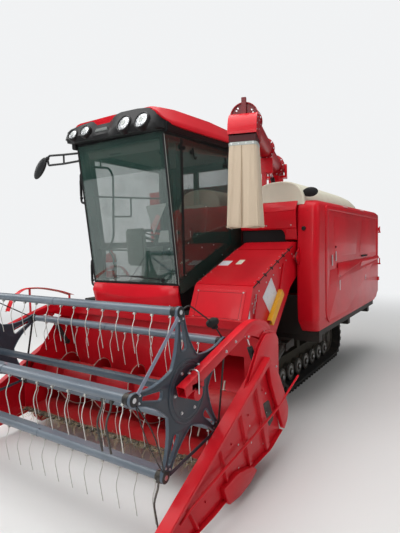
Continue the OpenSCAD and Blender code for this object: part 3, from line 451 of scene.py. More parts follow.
class Shape:
    """One piece under construction. Each call adds a solid to its mesh, in the current material slot."""

    def __init__(self):
        self.mesh = bmesh.new()
        self.slot = 0

    def use(self, slot):
        self.slot = slot
        return self

    def add(self, part, place=None):
        """Moves a bmesh into this shape."""
        data = bpy.data.meshes.new("part")
        part.to_mesh(data)
        part.free()
        if place is not None:
            data.transform(place)
        self.mesh.from_mesh(data)
        bpy.data.meshes.remove(data)
        return self

    def take(self, part, place=None):
        """Closes a new solid, gives it the current slot and adds it."""
        bmesh.ops.remove_doubles(part, verts=part.verts, dist=MERGE)
        bmesh.ops.recalc_face_normals(part, faces=part.faces)
        for face in part.faces:
            face.material_index = self.slot
        return self.add(part, place)

    def solid(self, points, soft=0.003):
        """The convex hull of the points, with its edges rounded."""
        part = bmesh.new()
        for p in points:
            part.verts.new(p)
        found = bmesh.ops.convex_hull(part, input=part.verts)
        bmesh.ops.delete(part, geom=[v for v in found["geom_interior"] if v.is_valid], context="VERTS")
        flat = [e for e in part.edges if len(e.link_faces) == 2 and e.calc_face_angle(0) < 0.01]
        bmesh.ops.dissolve_edges(part, edges=flat, use_verts=False)
        if soft:
            sharp = [e for e in part.edges if len(e.link_faces) == 2 and e.calc_face_angle(0) > 0.5]
            bmesh.ops.bevel(part, geom=sharp, offset=soft, segments=2, affect="EDGES", clamp_overlap=True)
        return self.take(part)

    def block(self, low, high, soft=0.003):
        return self.solid(box_points(*zip(low, high)), soft)

    def plate(self, axis, outlines, low, high, soft=0.002):
        """Extrudes an outline along an axis; further outlines inside it are holes."""
        if not isinstance(outlines[0][0], (tuple, list, Vector)):
            outlines = [outlines]
        curve = bpy.data.curves.new("outline", "CURVE")
        curve.dimensions = "2D"
        curve.fill_mode = "BOTH"
        curve.extrude = (high - low) / 2 - soft
        curve.bevel_depth = soft
        curve.bevel_resolution = 1
        curve.offset = -soft
        for outline in outlines:
            spline = curve.splines.new("POLY")
            spline.points.add(len(outline) - 1)
            for point, pair in zip(spline.points, outline):
                point.co = (pair[0], pair[1], 0, 1)
            spline.use_cyclic_u = True
        holder = bpy.data.objects.new("outline", curve)
        data = bpy.data.meshes.new_from_object(holder)
        data.transform(Matrix.Translation((0, 0, (low + high) / 2)))
        data.transform(PLATE_AXES[axis])
        part = bmesh.new()
        part.from_mesh(data)
        bpy.data.objects.remove(holder)
        bpy.data.curves.remove(curve)
        bpy.data.meshes.remove(data)
        return self.take(part)

    def rings(self, rings, closed=False, place=None):
        """Joins rings of points into a skin, with caps on the first and last unless it is closed."""
        part = bmesh.new()
        rows = [[part.verts.new(p) for p in ring] for ring in rings]
        pairs = list(zip(rows, rows[1:])) + ([(rows[-1], rows[0])] if closed else [])
        for a, b in pairs:
            for i in range(len(a)):
                j = (i + 1) % len(a)
                part.faces.new((a[i], a[j], b[j], b[i]))
        if not closed:
            part.faces.new(rows[0])
            part.faces.new(rows[-1])
        return self.take(part, place)

    def along_path(self, points, section, up=None, closed=False):
        """A section carried along a path without twist. Its first direction starts near up."""
        points = [Vector(p) for p in points]
        count = len(points)
        ways = []
        for i in range(count):
            before = points[i - 1] if closed or i else points[i]
            after = points[(i + 1) % count] if closed or i < count - 1 else points[i]
            ways.append((after - before).normalized())
        side = frame_to(ways[0], up).to_3x3().col[0]
        rings = []
        for p, way in zip(points, ways):
            side = (side - way * side.dot(way)).normalized()
            other = way.cross(side)
            rings.append([p + side * a + other * b for a, b in section])
        return rings

    def sweep(self, points, section, up=None, closed=False):
        return self.rings(self.along_path(points, section, up, closed), closed)

    def tube(self, points, radius, bend=0.0, sides=12, closed=False):
        """A round bar or tube along a path whose corners are bent with the given radius."""
        path = rounded(points, bend, 5, closed) if bend else points
        return self.sweep(path, circle(radius, sides), closed=closed)

    def strap(self, points, width, thick, bend=0.0, up=None, closed=False):
        """A flat bar along a path; its thickness lies along up."""
        a, b = thick / 2, width / 2
        path = rounded(points, bend, 5, closed) if bend else points
        return self.sweep(path, rounded([(-a, -b), (a, -b), (a, b), (-a, b)], min(a, b) * 0.5, 1), up,
                closed)

    def turned(self, profile, centre, axis, sides=32):
        """Turns a profile of (radius, distance along the axis) points about the axis through centre."""
        rings = []
        for radius, along in profile:
            rings.append([Vector((*p, along)) for p in circle(max(radius, THIN), sides)])
        return self.rings(rings, place=Matrix.Translation(centre) @ frame_to(axis))

    def disc(self, centre, axis, radius, thick, soft=0.002, sides=32):
        """A round plate or short bar whose edges are rounded."""
        profile = [(0, 0), (radius - soft, 0), (radius, soft), (radius, thick - soft),
                (radius - soft, thick), (0, thick)]
        return self.turned(profile, centre, axis, sides)

    def bolt(self, centre, axis, size=0.008, washer=True):
        """A hexagon head on its washer; size is the thread's diameter."""
        axis = Vector(axis).normalized()
        if washer:
            self.disc(centre, axis, size * 1.15, size * 0.2, size * 0.05, 16)
        head = [(0, 0.2), (0.84, 0.2), (0.9, 0.28), (0.9, 0.75), (0.75, 0.88), (0, 0.88)]
        return self.turned([(r * size, a * size) for r, a in head], centre, axis, 6)

    def bolts(self, places, axis, size=0.008):
        for place in places:
            self.bolt(place, axis, size)
        return self

    def ball(self, centre, radius, squash=(1, 1, 1), sides=16):
        part = bmesh.new()
        bmesh.ops.create_uvsphere(part, u_segments=sides, v_segments=sides // 2, radius=radius)
        return self.take(part, Matrix.Translation(centre) @ Matrix.Diagonal((*squash, 1)))

    def merge(self, other, place=None):
        """Takes over another shape's solids."""
        return self.add(other.mesh, place)

    def piece(self, name, body, *finishes, stands_for=()):
        """Closes the shape: its object rides on a body and may stand for CAD nodes."""
        data = bpy.data.meshes.new(name)
        self.mesh.to_mesh(data)
        self.mesh.free()
        for finish in finishes:
            data.materials.append(finish)
        data.polygons.foreach_set("use_smooth", [True] * len(data.polygons))
        data.set_sharp_from_angle(angle=SHARP)
        made = bpy.data.objects.new(name, data)
        bpy.context.scene.collection.objects.link(made)
        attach(made, body)
        if stands_for:
            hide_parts(*stands_for)
        return made


def dress(node, finish, soft=0.003):
    """Gives a CAD node its finish and rounds its edges a little."""
    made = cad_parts[node]
    made.data.materials.clear()
    made.data.materials.append(finish)
    weld = made.modifiers.new("weld", "WELD")
    weld.merge_threshold = MERGE
    if soft:
        edge = made.modifiers.new("edge", "BEVEL")
        edge.width = soft
        edge.segments = 2
        edge.limit_method = "ANGLE"
        edge.angle_limit = SOFTENED
        edge.harden_normals = True
        edge.use_clamp_overlap = True
    return made


# Stage, light and camera

def stage():
    """A pale floor that fades into an equally pale distance, and soft light from above."""
    world = bpy.data.worlds.new("sky")
    world.use_nodes = True
    bpy.context.scene.world = world
    bpy.context.scene.view_settings.view_transform = "Standard"
    tree = world.node_tree
    tree.nodes.clear()

    def add(kind, settings=None, **inputs):
        node = tree.nodes.new(kind)
        for name, value in (settings or {}).items():
            setattr(node, name, value)
        for name, value in inputs.items():
            socket = node.inputs[name.replace("_", " ")]
            if isinstance(value, bpy.types.NodeSocket):
                tree.links.new(value, socket)
            else:
                socket.default_value = value
        return node

    place = add("ShaderNodeTexCoord").outputs["Generated"]
    height = add("ShaderNodeSeparateXYZ", Vector=place).outputs["Z"]
    ramp = add("ShaderNodeValToRGB", Fac=height).color_ramp
    for element, (spot, colour) in zip((ramp.elements[0], ramp.elements[1], ramp.elements.new(0.2)), SKY):
        element.position = spot
        element.color = (*colour, 1.0)
    lighting = add("ShaderNodeBackground", Color=tree.nodes["Color Ramp"].outputs["Color"],
            Strength=SKY_LIGHT)
    seen = add("ShaderNodeBackground", Color=(*BACKDROP, 1.0), Strength=1.0)
    path = add("ShaderNodeLightPath")
    either = add("ShaderNodeMath", {"operation": "MAXIMUM"})
    tree.links.new(path.outputs["Is Camera Ray"], either.inputs[0])
    tree.links.new(path.outputs["Is Transmission Ray"], either.inputs[1])
    both = add("ShaderNodeMixShader")
    tree.links.new(either.outputs[0], both.inputs[0])
    tree.links.new(lighting.outputs[0], both.inputs[1])
    tree.links.new(seen.outputs[0], both.inputs[2])
    out = add("ShaderNodeOutputWorld")
    tree.links.new(both.outputs[0], out.inputs["Surface"])

    floor = bpy.data.meshes.new("floor")
    corners = [(FLOOR_REACH * x, FLOOR_REACH * y, 0) for x, y in ((-1, -1), (1, -1), (1, 1), (-1, 1))]
    floor.from_pydata(corners, [], [(0, 1, 2, 3)])
    floor.materials.append(FLOOR)
    ground = bpy.data.objects.new("floor", floor)
    ground.location = (0, 0, -0.001)
    bpy.context.scene.collection.objects.link(ground)

    for name, spot, target, size, power in LAMPS:
        lamp = bpy.data.lights.new(name, "AREA")
        lamp.shape = "RECTANGLE"
        lamp.size, lamp.size_y = size
        lamp.energy = power
        holder = bpy.data.objects.new(name, lamp)
        aim = Vector(target) - Vector(spot)
        holder.matrix_world = Matrix.Translation(spot) @ aim.to_track_quat("-Z", "Y").to_matrix().to_4x4()
        bpy.context.scene.collection.objects.link(holder)


def camera():
    """The photo's camera: its place, turn and focal length come from points of the machine in the photo."""
    yaw, pitch, roll = CAMERA_TURN
    look = Vector((-sin(yaw) * cos(pitch), cos(yaw) * cos(pitch), sin(pitch)))
    level = Vector((cos(yaw), sin(yaw), 0))
    upright = level.cross(look)
    right = level * cos(roll) + upright * sin(roll)
    up = upright * cos(roll) - level * sin(roll)
    data = bpy.data.cameras.new("photo")
    data.sensor_fit = "AUTO"
    data.sensor_width = SENSOR_LONG_SIDE
    data.lens = FOCAL_PIXELS * SENSOR_LONG_SIDE / max(PHOTO_SIZE)
    holder = bpy.data.objects.new("photo", data)
    turn = Matrix((right, up, -look)).transposed().to_4x4()
    holder.matrix_world = Matrix.Translation(CAMERA_SPOT) @ turn
    bpy.context.scene.collection.objects.link(holder)
    bpy.context.scene.camera = holder


SKY = ((0.0, (0.1, 0.1, 0.1)), (1.0, (1.0, 1.0, 1.0)), (0.48, (0.3, 0.31, 0.32)))
SKY_LIGHT = 0.55
CAMERA_SPOT = (2.5601, -3.9628, 1.6294)
CAMERA_TURN = (0.582898, -0.0570995, -0.0211225)
FOCAL_PIXELS = 429.803
# Name, place, aim, width and length, power in watts
LAMPS = (
    ("overhead", (-0.5, -1.5, 7.0), (0.2, 0.0, 0.8), (7.0, 9.0), 560.0),
    ("front", (0.8, -8.0, 4.4), (0.2, -0.5, 1.2), (4.0, 3.0), 170.0),
    ("left", (7.5, 0.5, 4.6), (0.5, 0.6, 1.2), (4.0, 3.0), 55.0),
    ("right", (-7.0, -2.0, 4.5), (-0.4, 0.0, 1.2), (4.0, 3.0), 90.0),
)

# Reel

REEL = Vector((0, -2.05, 0.806))
REEL_R = 0.45
BATS = 5
FIRST_BAT = 6.92
STAR_X = {LEFT: (1.188, 1.2), RIGHT: (-0.74, -0.728)}
BAT_R = 0.025
TINE_PITCH = 0.13
HUB_R = 0.176


def about_reel(angle, radius, aside=0.0):
    """y and z of a point of the reel: degrees ahead of the top, distance from the shaft and step ahead."""
    a = radians(angle)
    y = REEL.y - radius * sin(a) - aside * cos(a)
    z = REEL.z + radius * cos(a) - aside * sin(a)
    return y, z


def bat_turn(i):
    return FIRST_BAT + i * 360 / BATS


def star_outline():
    """Five arms with round tips, joined by hollow curves."""
    radii = [0.17, 0.18, 0.195, 0.22, 0.26, 0.31, 0.36, 0.41, REEL_R]

    def half(r):
        return 0.031 + 0.088 * ((REEL_R - r) / 0.28) ** 2.2

    outline = []
    for i in range(BATS):
        turn = bat_turn(i)
        outline += [about_reel(turn, r, -half(r)) for r in radii]
        for step in range(1, 8):
            a = pi * step / 8
            outline.append(about_reel(turn, REEL_R + 0.03 * sin(a), -0.031 * cos(a)))
        outline += [about_reel(turn, r, half(r)) for r in reversed(radii)]
    return outline


def arm_slot(turn):
    wide, slim = 0.027, 0.013
    corners = [(0.232, -wide), (0.392, -slim), (0.392, slim), (0.232, wide)]
    return rounded([about_reel(turn, r, aside) for r, aside in corners], 0.022, 5)


def star(side):
    low, high = STAR_X[side]
    mid = (low + high) / 2
    out = high if side == LEFT else low
    s = Shape()
    outline = star_outline()
    slots = [arm_slot(bat_turn(i)) for i in range(BATS)]
    s.plate(X, [outline, *slots], low, high, 0.0015)
    s.turned([(0, 0)] + [(HUB_R + step, along) for step, along in ((0, 0), (0.003, 0.003), (0.003, 0.016),
            (-0.002, 0.02), (-0.012, 0.02), (-0.015, 0.0165), (-0.024, 0.0165), (-0.027, 0.0195),
            (-0.034, 0.0195), (-0.038, 0.0175))] + [(0.05, 0.0175), (0, 0.0175)],
            (out - side * 0.013, REEL.y, REEL.z), (side, 0, 0), 72)
    s.turned([(0, 0), (0.12, 0), (0.12, 0.03), (0.07, 0.036), (0.06, 0.05), (0, 0.05)],
            (mid - side * 0.004, REEL.y, REEL.z), (-side, 0, 0), 48)
    # Rims round the outline and the slots in the lighter blue-grey: painted highlight
    s.use(1)
    s.strap(at_x(mid, outline), 0.005, 0.021, up=X, closed=True)
    for slot in slots:
        s.strap(at_x(mid, slot), 0.004, 0.019, up=X, closed=True)
    s.use(2)
    face = out - side * 0.001
    for i in range(BATS):
        y, z = about_reel(bat_turn(i), REEL_R)
        s.turned([(0.016, 0), (0.029, 0), (0.03, 0.001), (0.03, 0.006), (0.027, 0.008), (0.016, 0.008)],
                (face, y, z), (side, 0, 0))
        s.turned([(0.017, 0), (0.034, 0), (0.034, 0.006), (0.028, 0.01), (0.017, 0.01)],
                (low if side == LEFT else high, y, z), (-side, 0, 0), 24)
    s.use(3)
    for i in range(6):
        y, z = about_reel(bat_turn(0) + 20 + i * 60, HUB_R - 0.052)
        s.bolt((out + side * 0.0035, y, z), (side, 0, 0), 0.0085)
    for i in range(BATS):
        for aside in (-0.019, 0.019):
            y, z = about_reel(bat_turn(i), REEL_R - 0.042, aside)
            s.bolt((out + side * 0.001, y, z), (side, 0, 0), 0.006)
    return s


def tip_to_tip(i, j, x, bend=0.0):
    """Path outside a star plate between the tips of two arms, bowed outwards by bend."""
    a = Vector((x, *about_reel(bat_turn(i), REEL_R)))
    b = Vector((x, *about_reel(bat_turn(j), REEL_R)))
    way = (b - a).normalized()
    out = ((a + b) / 2 - Vector((x, REEL.y, REEL.z))).normalized()
    a += way * 0.034
    b -= way * 0.034
    length = (b - a).length
    return [a + way * length * t + out * bend * sin(pi * t)
            for t in (0, 0.12, 0.25, 0.4, 0.55, 0.7, 0.85, 1)]


def reel():
    s = star(LEFT)
    s.merge(star(RIGHT))
    s.use(0)
    s.tube([(STAR_X[RIGHT][0] - 0.07, REEL.y, REEL.z), (STAR_X[LEFT][1] + 0.07, REEL.y, REEL.z)], 0.0168,
            sides=24)
    s.tube([(STAR_X[RIGHT][1] + 0.05, REEL.y, REEL.z), (STAR_X[LEFT][0] - 0.05, REEL.y, REEL.z)], 0.026,
            sides=32)
    for side in (LEFT, RIGHT):
        x = STAR_X[side][1 if side == LEFT else 0] + side * 0.0055
        s.use(4)
        s.strap(tip_to_tip(0, 1, x), 0.024, 0.004, up=X)
        s.use(0)
        s.strap(tip_to_tip(2, 3, x), 0.022, 0.004, up=X)
        s.use(2)
        s.strap(tip_to_tip(3, 4, x), 0.018, 0.005, up=X)
        s.tube(tip_to_tip(1, 2, x, -0.03), 0.0036, sides=8)
        s.tube(tip_to_tip(1, 2, x - side * 0.006, 0.018), 0.003, sides=8)
        if side == RIGHT:
            s.tube(tip_to_tip(4, 0, x, 0.0), 0.0045, sides=8)
    x = STAR_X[LEFT][1] + 0.0035
    a = Vector((x, *about_reel(bat_turn(0), REEL_R + 0.012, -0.03)))
    b = Vector((x - 0.004, *about_reel(bat_turn(4), REEL_R - 0.01, 0.045)))
    cap = Vector((x - 0.022, -1.745, 1.135))
    s.tube([a, a + Vector((0, 0.05, 0.014)), cap + Vector((0.012, -0.05, 0.02)), cap, b], 0.0045, 0.03, 8)
    s.use(5)
    s.ball(cap, 1.0, (0.024, 0.066, 0.03), 24)
    s.turned([(0, 0), (0.02, 0), (0.022, 0.004), (0.02, 0.012), (0, 0.012)],
            cap + Vector((0.004, 0.02, -0.036)), (0, -0.3, 1), 24)
    s.piece("reel_plates", "reel", REEL_GREY, REEL_EDGE_HIGHLIGHT, BLACK, BRIGHT, BAR_PALE, SOFT_BLACK,
            stands_for=("reel_stars",))


def tine(s, x, top, length, radius, bulge):
    """A spring wire that leaves its coil, bows forward and hangs."""
    coil = [(x + 0.0045 * t, 0.007 * cos(2 * pi * t) - 0.004, top + 0.007 * sin(2 * pi * t) + 0.002)
            for t in [k / 8 for k in range(-20, 5)]]
    hang = []
    for k in range(1, 13):
        t = k / 12
        reach = sin(pi / 2 * min(1.0, t / 0.4)) * (1 - 0.5 * max(0.0, t - 0.4) / 0.6)
        hang.append((coil[-1][0], -bulge * reach - 0.004 * (1 - t), top - 0.014 - (length - 0.014) * t))
    s.tube(coil + hang, radius, sides=6)


def bat(i):
    y, z = about_reel(bat_turn(i), REEL_R)
    low = STAR_X[RIGHT][1] + 0.006
    high = STAR_X[LEFT][0] - 0.006
    seam = 0.165
    s = Shape()
    s.tube([(low + 0.012, 0, 0), (seam, 0, 0)], BAT_R, sides=28)
    s.tube([(seam - 0.004, 0, 0), (high - 0.012, 0, 0)], BAT_R - 0.0016, sides=28)
    s.turned([(BAT_R - 0.001, 0), (BAT_R + 0.0012, 0.001), (BAT_R + 0.0012, 0.011),
            (BAT_R - 0.001, 0.012)], (seam - 0.012, 0, 0), X, 28)
    s.solid(prism((low + 0.03, high - 0.045), ((0.0, 0.019), (0.0, 0.022), (0.062, 0.0135),
            (0.062, 0.0165))), 0.001)
    s.use(1)
    for x in (low, high - 0.034):
        s.turned([(0, 0), (BAT_R + 0.001, 0), (BAT_R + 0.002, 0.002), (BAT_R + 0.002, 0.008),
                (BAT_R, 0.011), (BAT_R, 0.022), (BAT_R + 0.002, 0.025), (BAT_R + 0.002, 0.032),
                (BAT_R, 0.034), (0, 0.034)], (x, 0, 0), X, 28)
    s.use(2)
    for side, x in ((LEFT, high - 0.002), (RIGHT, low + 0.002)):
        s.turned([(0, 0), (0.0138, 0), (0.0138, 0.0265), (0.0125, 0.0275), (0, 0.0275)], (x, 0, 0),
                (side, 0, 0), 24)
    s.use(3)
    first = STAR_X[LEFT][1] - 0.06
    count = int((STAR_X[LEFT][1] - STAR_X[RIGHT][0] - 0.12) / TINE_PITCH) + 1
    for k in range(count):
        x = first - k * TINE_PITCH
        tine(s, x, -0.03, 0.23, 0.0027, 0.036)
    s.use(0)
    for k in range(count):
        x = first - k * TINE_PITCH
        s.solid(prism((x - 0.01, x + 0.004), ((-0.008, -0.018), (-0.006, -0.029), (0.012, -0.018),
                (0.01, -0.029))))
    s.use(4)
    thick = {1: (1.066, 1.006), 2: (1.162,)}.get(i, ())
    for x in thick:
        tine(s, x, -0.03, 0.25, 0.0058, 0.05)
    name = f"bat_{i + 1}"
    s = Shape().merge(s, Matrix.Translation((0, y, z)))
    s.piece(f"{name}_tube", name, BAR_GREY, BLACK, BRIGHT, WIRE, DARK_STEEL, stands_for=(name,))


# Reel arms

ARM_X = {LEFT: (1.216, 1.272), RIGHT: (-0.812, -0.756)}
ARM_PIVOT = (-1.05, 0.845)
REEL_EYE = (-1.43, 1.0)


def pipe(s, points, wide, tall, wall, bend):
    """A square tube along a path, open at both ends."""
    path = rounded(points, bend, 8, False)

    def section(cut):
        a, b = tall / 2 - cut, wide / 2 - cut
        return rounded([(-a, -b), (a, -b), (a, b), (-a, b)], 0.006, 2)

    rows = [s.along_path(path, section(cut), Z) for cut in (0, wall)]
    return s.rings(rows[0] + rows[1][::-1], closed=True)


def arms():
    s = Shape()
    for side in (LEFT, RIGHT):
        low, high = ARM_X[side]
        x = (low + high) / 2
        wide = high - low
        path = [(x, -2.17, 0.84), (x, -1.62, 1.005), (x, -1.36, 1.072), (x, -1.14, 1.02), (x, *ARM_PIVOT)]
        s.use(0)
        pipe(s, path, wide, 0.064, 0.005, 0.16)
        # Doubled cheek plates round the bend, with the ears of the cylinder under them
        for cheek in (low - 0.0005, high - 0.0045):
            s.plate(X, rounded(((-1.52, 1.02), (-1.36, 1.07), (-1.18, 1.02), (-1.04, 0.9), (-1.08, 0.82),
                    (-1.18, 0.92), (-1.36, 0.985)), 0.03, 5), cheek, cheek + 0.005, 0.001)
        for ear in (-0.019, 0.019):
            s.plate(X, rounded(((-1.462, 0.978), (-1.462, 1.04), (-1.398, 1.04), (-1.398, 0.978)), 0.02,
                    4), x + ear - 0.004, x + ear + 0.004, 0.001)
        s.turned([(0.0205, 0), (0.046, 0), (0.048, 0.002), (0.048, wide - 0.002), (0.046, wide),
                (0.0205, wide)], (low, *ARM_PIVOT), X, 40)
        # Bearing of the reel's shaft, bolted under the tube
        hub = STAR_X[side][1 if side == LEFT else 0] + side * 0.009
        reach = abs(high - hub) if side == LEFT else abs(hub - low)
        s.turned([(0.0182, 0), (0.04, 0), (0.042, 0.002), (0.042, reach), (0.0182, reach)],
                (hub, REEL.y, REEL.z), (side, 0, 0), 36)
        s.block((low, REEL.y - 0.06, REEL.z + 0.02), (high, REEL.y + 0.06, REEL.z + 0.062))
        s.use(1)
        face = high if side == LEFT else low
        for y, z in ((-1.62, 1.0), (-1.74, 0.965), (-1.2, 0.985), (-1.1, 0.915)):
            s.bolt((face - side * 0.001, y, z), (side, 0, 0), 0.009)
        s.bolt((x, REEL.y - 0.045, REEL.z + 0.115), Z, 0.009)
        s.bolt((x, REEL.y + 0.045, REEL.z + 0.142), Z, 0.009)
        clamp = [(low - 0.004, REEL.y, 0.8), (low - 0.004, REEL.y, 0.93), (high + 0.004, REEL.y, 0.93),
                (high + 0.004, REEL.y, 0.8)]
        s.tube(clamp, 0.0045, 0.022, 8)
        s.tube([(low + 0.004, *REEL_EYE), (high - 0.004, *REEL_EYE)], 0.0135, sides=20)
    s.piece("reel_arm_tubes", "reel_arms", RED, BRIGHT, SOFT_BLACK, stands_for=("reel_arms",))


# Crop dividers

def divider_bar(s, low, high, tip, top):
    """Folded bar from the divider's tip to its top: wide flat top and downturned edges."""
    way = (Vector((0, *top)) - Vector((0, *tip))).normalized()
    down = Vector((0, way.z, -way.y))
    if down.z > 0:
        down = -down
    points = []
    for x in (low, high):
        narrow = 0.012 if x == high else 0.0
        a = Vector((x - narrow, *tip))
        b = Vector((x, *top))
        points += [a, b, a + down * 0.045 * 0.35, b + down * 0.045]
    return s.solid(points, 0.004)


def dividers():
    s = Shape()
    s.use(0)
    divider_bar(s, 1.248, 1.3385, (-2.648, 0.116), (-1.245, 0.822))
    # Outer side plate with its folded ribs
    side = [(-2.6, 0.105), (-2.44, 0.215), (-1.32, 0.785), (-1.24, 0.77), (-1.13, 0.56), (-1.06, 0.36),
            (-1.01, 0.21), (-1.23, 0.148), (-1.51, 0.145), (-1.74, 0.115), (-2.0, 0.09), (-2.45, 0.083)]
    s.plate(X, rounded(side, 0.02, 3), 1.296, 1.3, 0.001)
    # The side plate's inner face in the shaded red: painted shade
    s.use(1)
    s.plate(X, rounded(side, 0.02, 3), 1.2945, 1.296, 0.0004)
    s.use(0)
    # Edge flange round the lower side
    flange_line = ((-2.6, 0.098), (-2.45, 0.088), (-2.0, 0.094), (-1.74, 0.119), (-1.51, 0.149),
            (-1.23, 0.152), (-1.012, 0.213))
    s.strap(at_x(1.312, flange_line), 0.03, 0.004, 0.03, up=Z)
    for (a, b), wide in ((((-2.25, 0.3), (-2.14, 0.1)), 0.03), (((-1.9, 0.46), (-1.8, 0.13)), 0.035),
            (((-1.64, 0.59), (-1.52, 0.17)), 0.05), (((-1.41, 0.69), (-1.25, 0.17)), 0.07)):
        aim = (Vector((0, *b)) - Vector((0, *a))).normalized()
        s.solid([Vector((x, *p)) + Vector((0, -aim.z, aim.y)) * t
                for x, w in ((1.299, wide / 2), (1.318, wide / 2 - 0.01)) for p in (a, b)
                for t in (-w, w)], 0.002)
    # Curved plate behind the bar
    rear = [(-1.27, 0.8), (-1.19, 0.755), (-1.09, 0.667), (-0.99, 0.51), (-0.91, 0.352), (-0.93, 0.27),
            (-1.0, 0.205), (-1.06, 0.32), (-1.13, 0.46), (-1.22, 0.63)]
    s.plate(X, rounded(rear, 0.035, 4), 1.303, 1.333, 0.004)
    # Black patch on the outer plate: painted shade of a pocket
    s.use(3)
    s.plate(X, rounded(((-1.3, 0.5), (-1.2, 0.5), (-1.12, 0.33), (-1.2, 0.3)), 0.02, 3), 1.2995, 1.3012,
            0.0004)
    s.use(0)
    # Skid shoe
    shoe = [(-1.9, 0.2), (-1.72, 0.215), (-1.52, 0.165), (-1.46, 0.115), (-1.56, 0.075), (-1.7, 0.06),
            (-1.84, 0.075)]
    s.plate(X, rounded(shoe, 0.02, 4), 1.286, 1.334, 0.005)
    s.solid(at_x(1.334, ((-1.8, 0.185), (-1.7, 0.19), (-1.55, 0.145), (-1.6, 0.085),
            (-1.78, 0.085))) + at_x(1.3395, ((-1.76, 0.165), (-1.7, 0.17), (-1.6, 0.14), (-1.63, 0.105),
            (-1.74, 0.1))), 0.002)
    # Thin guide rod
    s.use(2)
    s.tube([(1.312, -2.3, 0.215), (1.331, -2.25, 0.262), (1.331, -2.05, 0.294), (1.331, -1.54, 0.357),
            (1.331, -1.11, 0.414), (1.331, -0.7, 0.54)], 0.0085, 0.05)
    s.bolts(at_x(1.3015, ((-2.05, 0.2), (-1.75, 0.4), (-1.52, 0.5), (-1.31, 0.6), (-1.3, 0.7),
            (-1.16, 0.6))), X, 0.007)
    s.use(0)
    # Right divider, plainer
    divider_bar(s, -0.876, -0.806, (-2.648, 0.116), (-1.245, 0.822))
    s.plate(X, rounded(side, 0.02, 3), -0.866, -0.862, 0.001)
    s.strap(at_x(-0.872, flange_line), 0.01, 0.004, 0.03, up=Z)
    s.use(3)
    s.tube([(-0.872, -2.2, 0.36), (-0.872, -1.6, 0.56), (-0.872, -1.25, 0.5)], 0.008, 0.05, 10)
    s.piece("divider_bars", "header", RED, SHADED_RED, RED, BLACK, stands_for=("dividers",))


# Side cover, moulded in one with its front strip

COVER_FACE = 1.3
COVER_ROUND = 0.062


def cover_front(z):
    """y of the side cover's front face at a height: upright below, leaning back a little above."""
    lean = min(1.0, max(0.0, (z - 1.4) / 0.45))
    return -0.105 + 0.031 * lean * lean * (3 - 2 * lean)


# Height and the distances that front face and side stand in from the cover's outermost line
COVER_ROWS = ((0.756, 0.100, 0.034), (0.768, 0.080, 0.024), (0.868, 0.004, 0.004), (0.882, 0.0, 0.0),
        (1.05, 0.0, 0.0), (1.25, 0.0, 0.0), (1.4, 0.0, 0.0), (1.55, 0.0, 0.0), (1.7, 0.0, 0.0),
        (1.8, 0.0, 0.0), (1.88, 0.0, 0.0), (1.93, 0.004, 0.002), (1.962, 0.016, 0.010),
        (1.984, 0.036, 0.026), (1.996, 0.058, 0.046), (2.0, 0.09, 0.074))


def cover_row(z, front_in, side_in, thick):
    """Ring of points round the cover's shell at one height: outer side forward to back, then inner side."""
    y = cover_front(z) + front_in
    x = COVER_FACE - side_in
    low = 0.012 * max(0.0, 1 - (z - 0.75) / 0.2)
    rear = 2.6 - max(0.0, 0.85 - z) * 1.4 - max(0.0, z - 1.94) * 1.0
    ring = []
    for offset in (0, thick):
        row = [(1.106 + low, y + 0.006 + offset), (1.17, y + offset), (x - COVER_ROUND, y + offset)]
        for step in range(1, 8):
            a = pi / 2 * step / 8
            r = COVER_ROUND - offset
            row.append((x - COVER_ROUND + r * sin(a), y + COVER_ROUND - r * cos(a)))
        row += [(x - offset, y + COVER_ROUND), (x - offset, 0.5), (x - offset, 1.4), (x - offset, rear)]
        ring += row if not offset else row[::-1]
    return [(px, py, z) for px, py in ring]


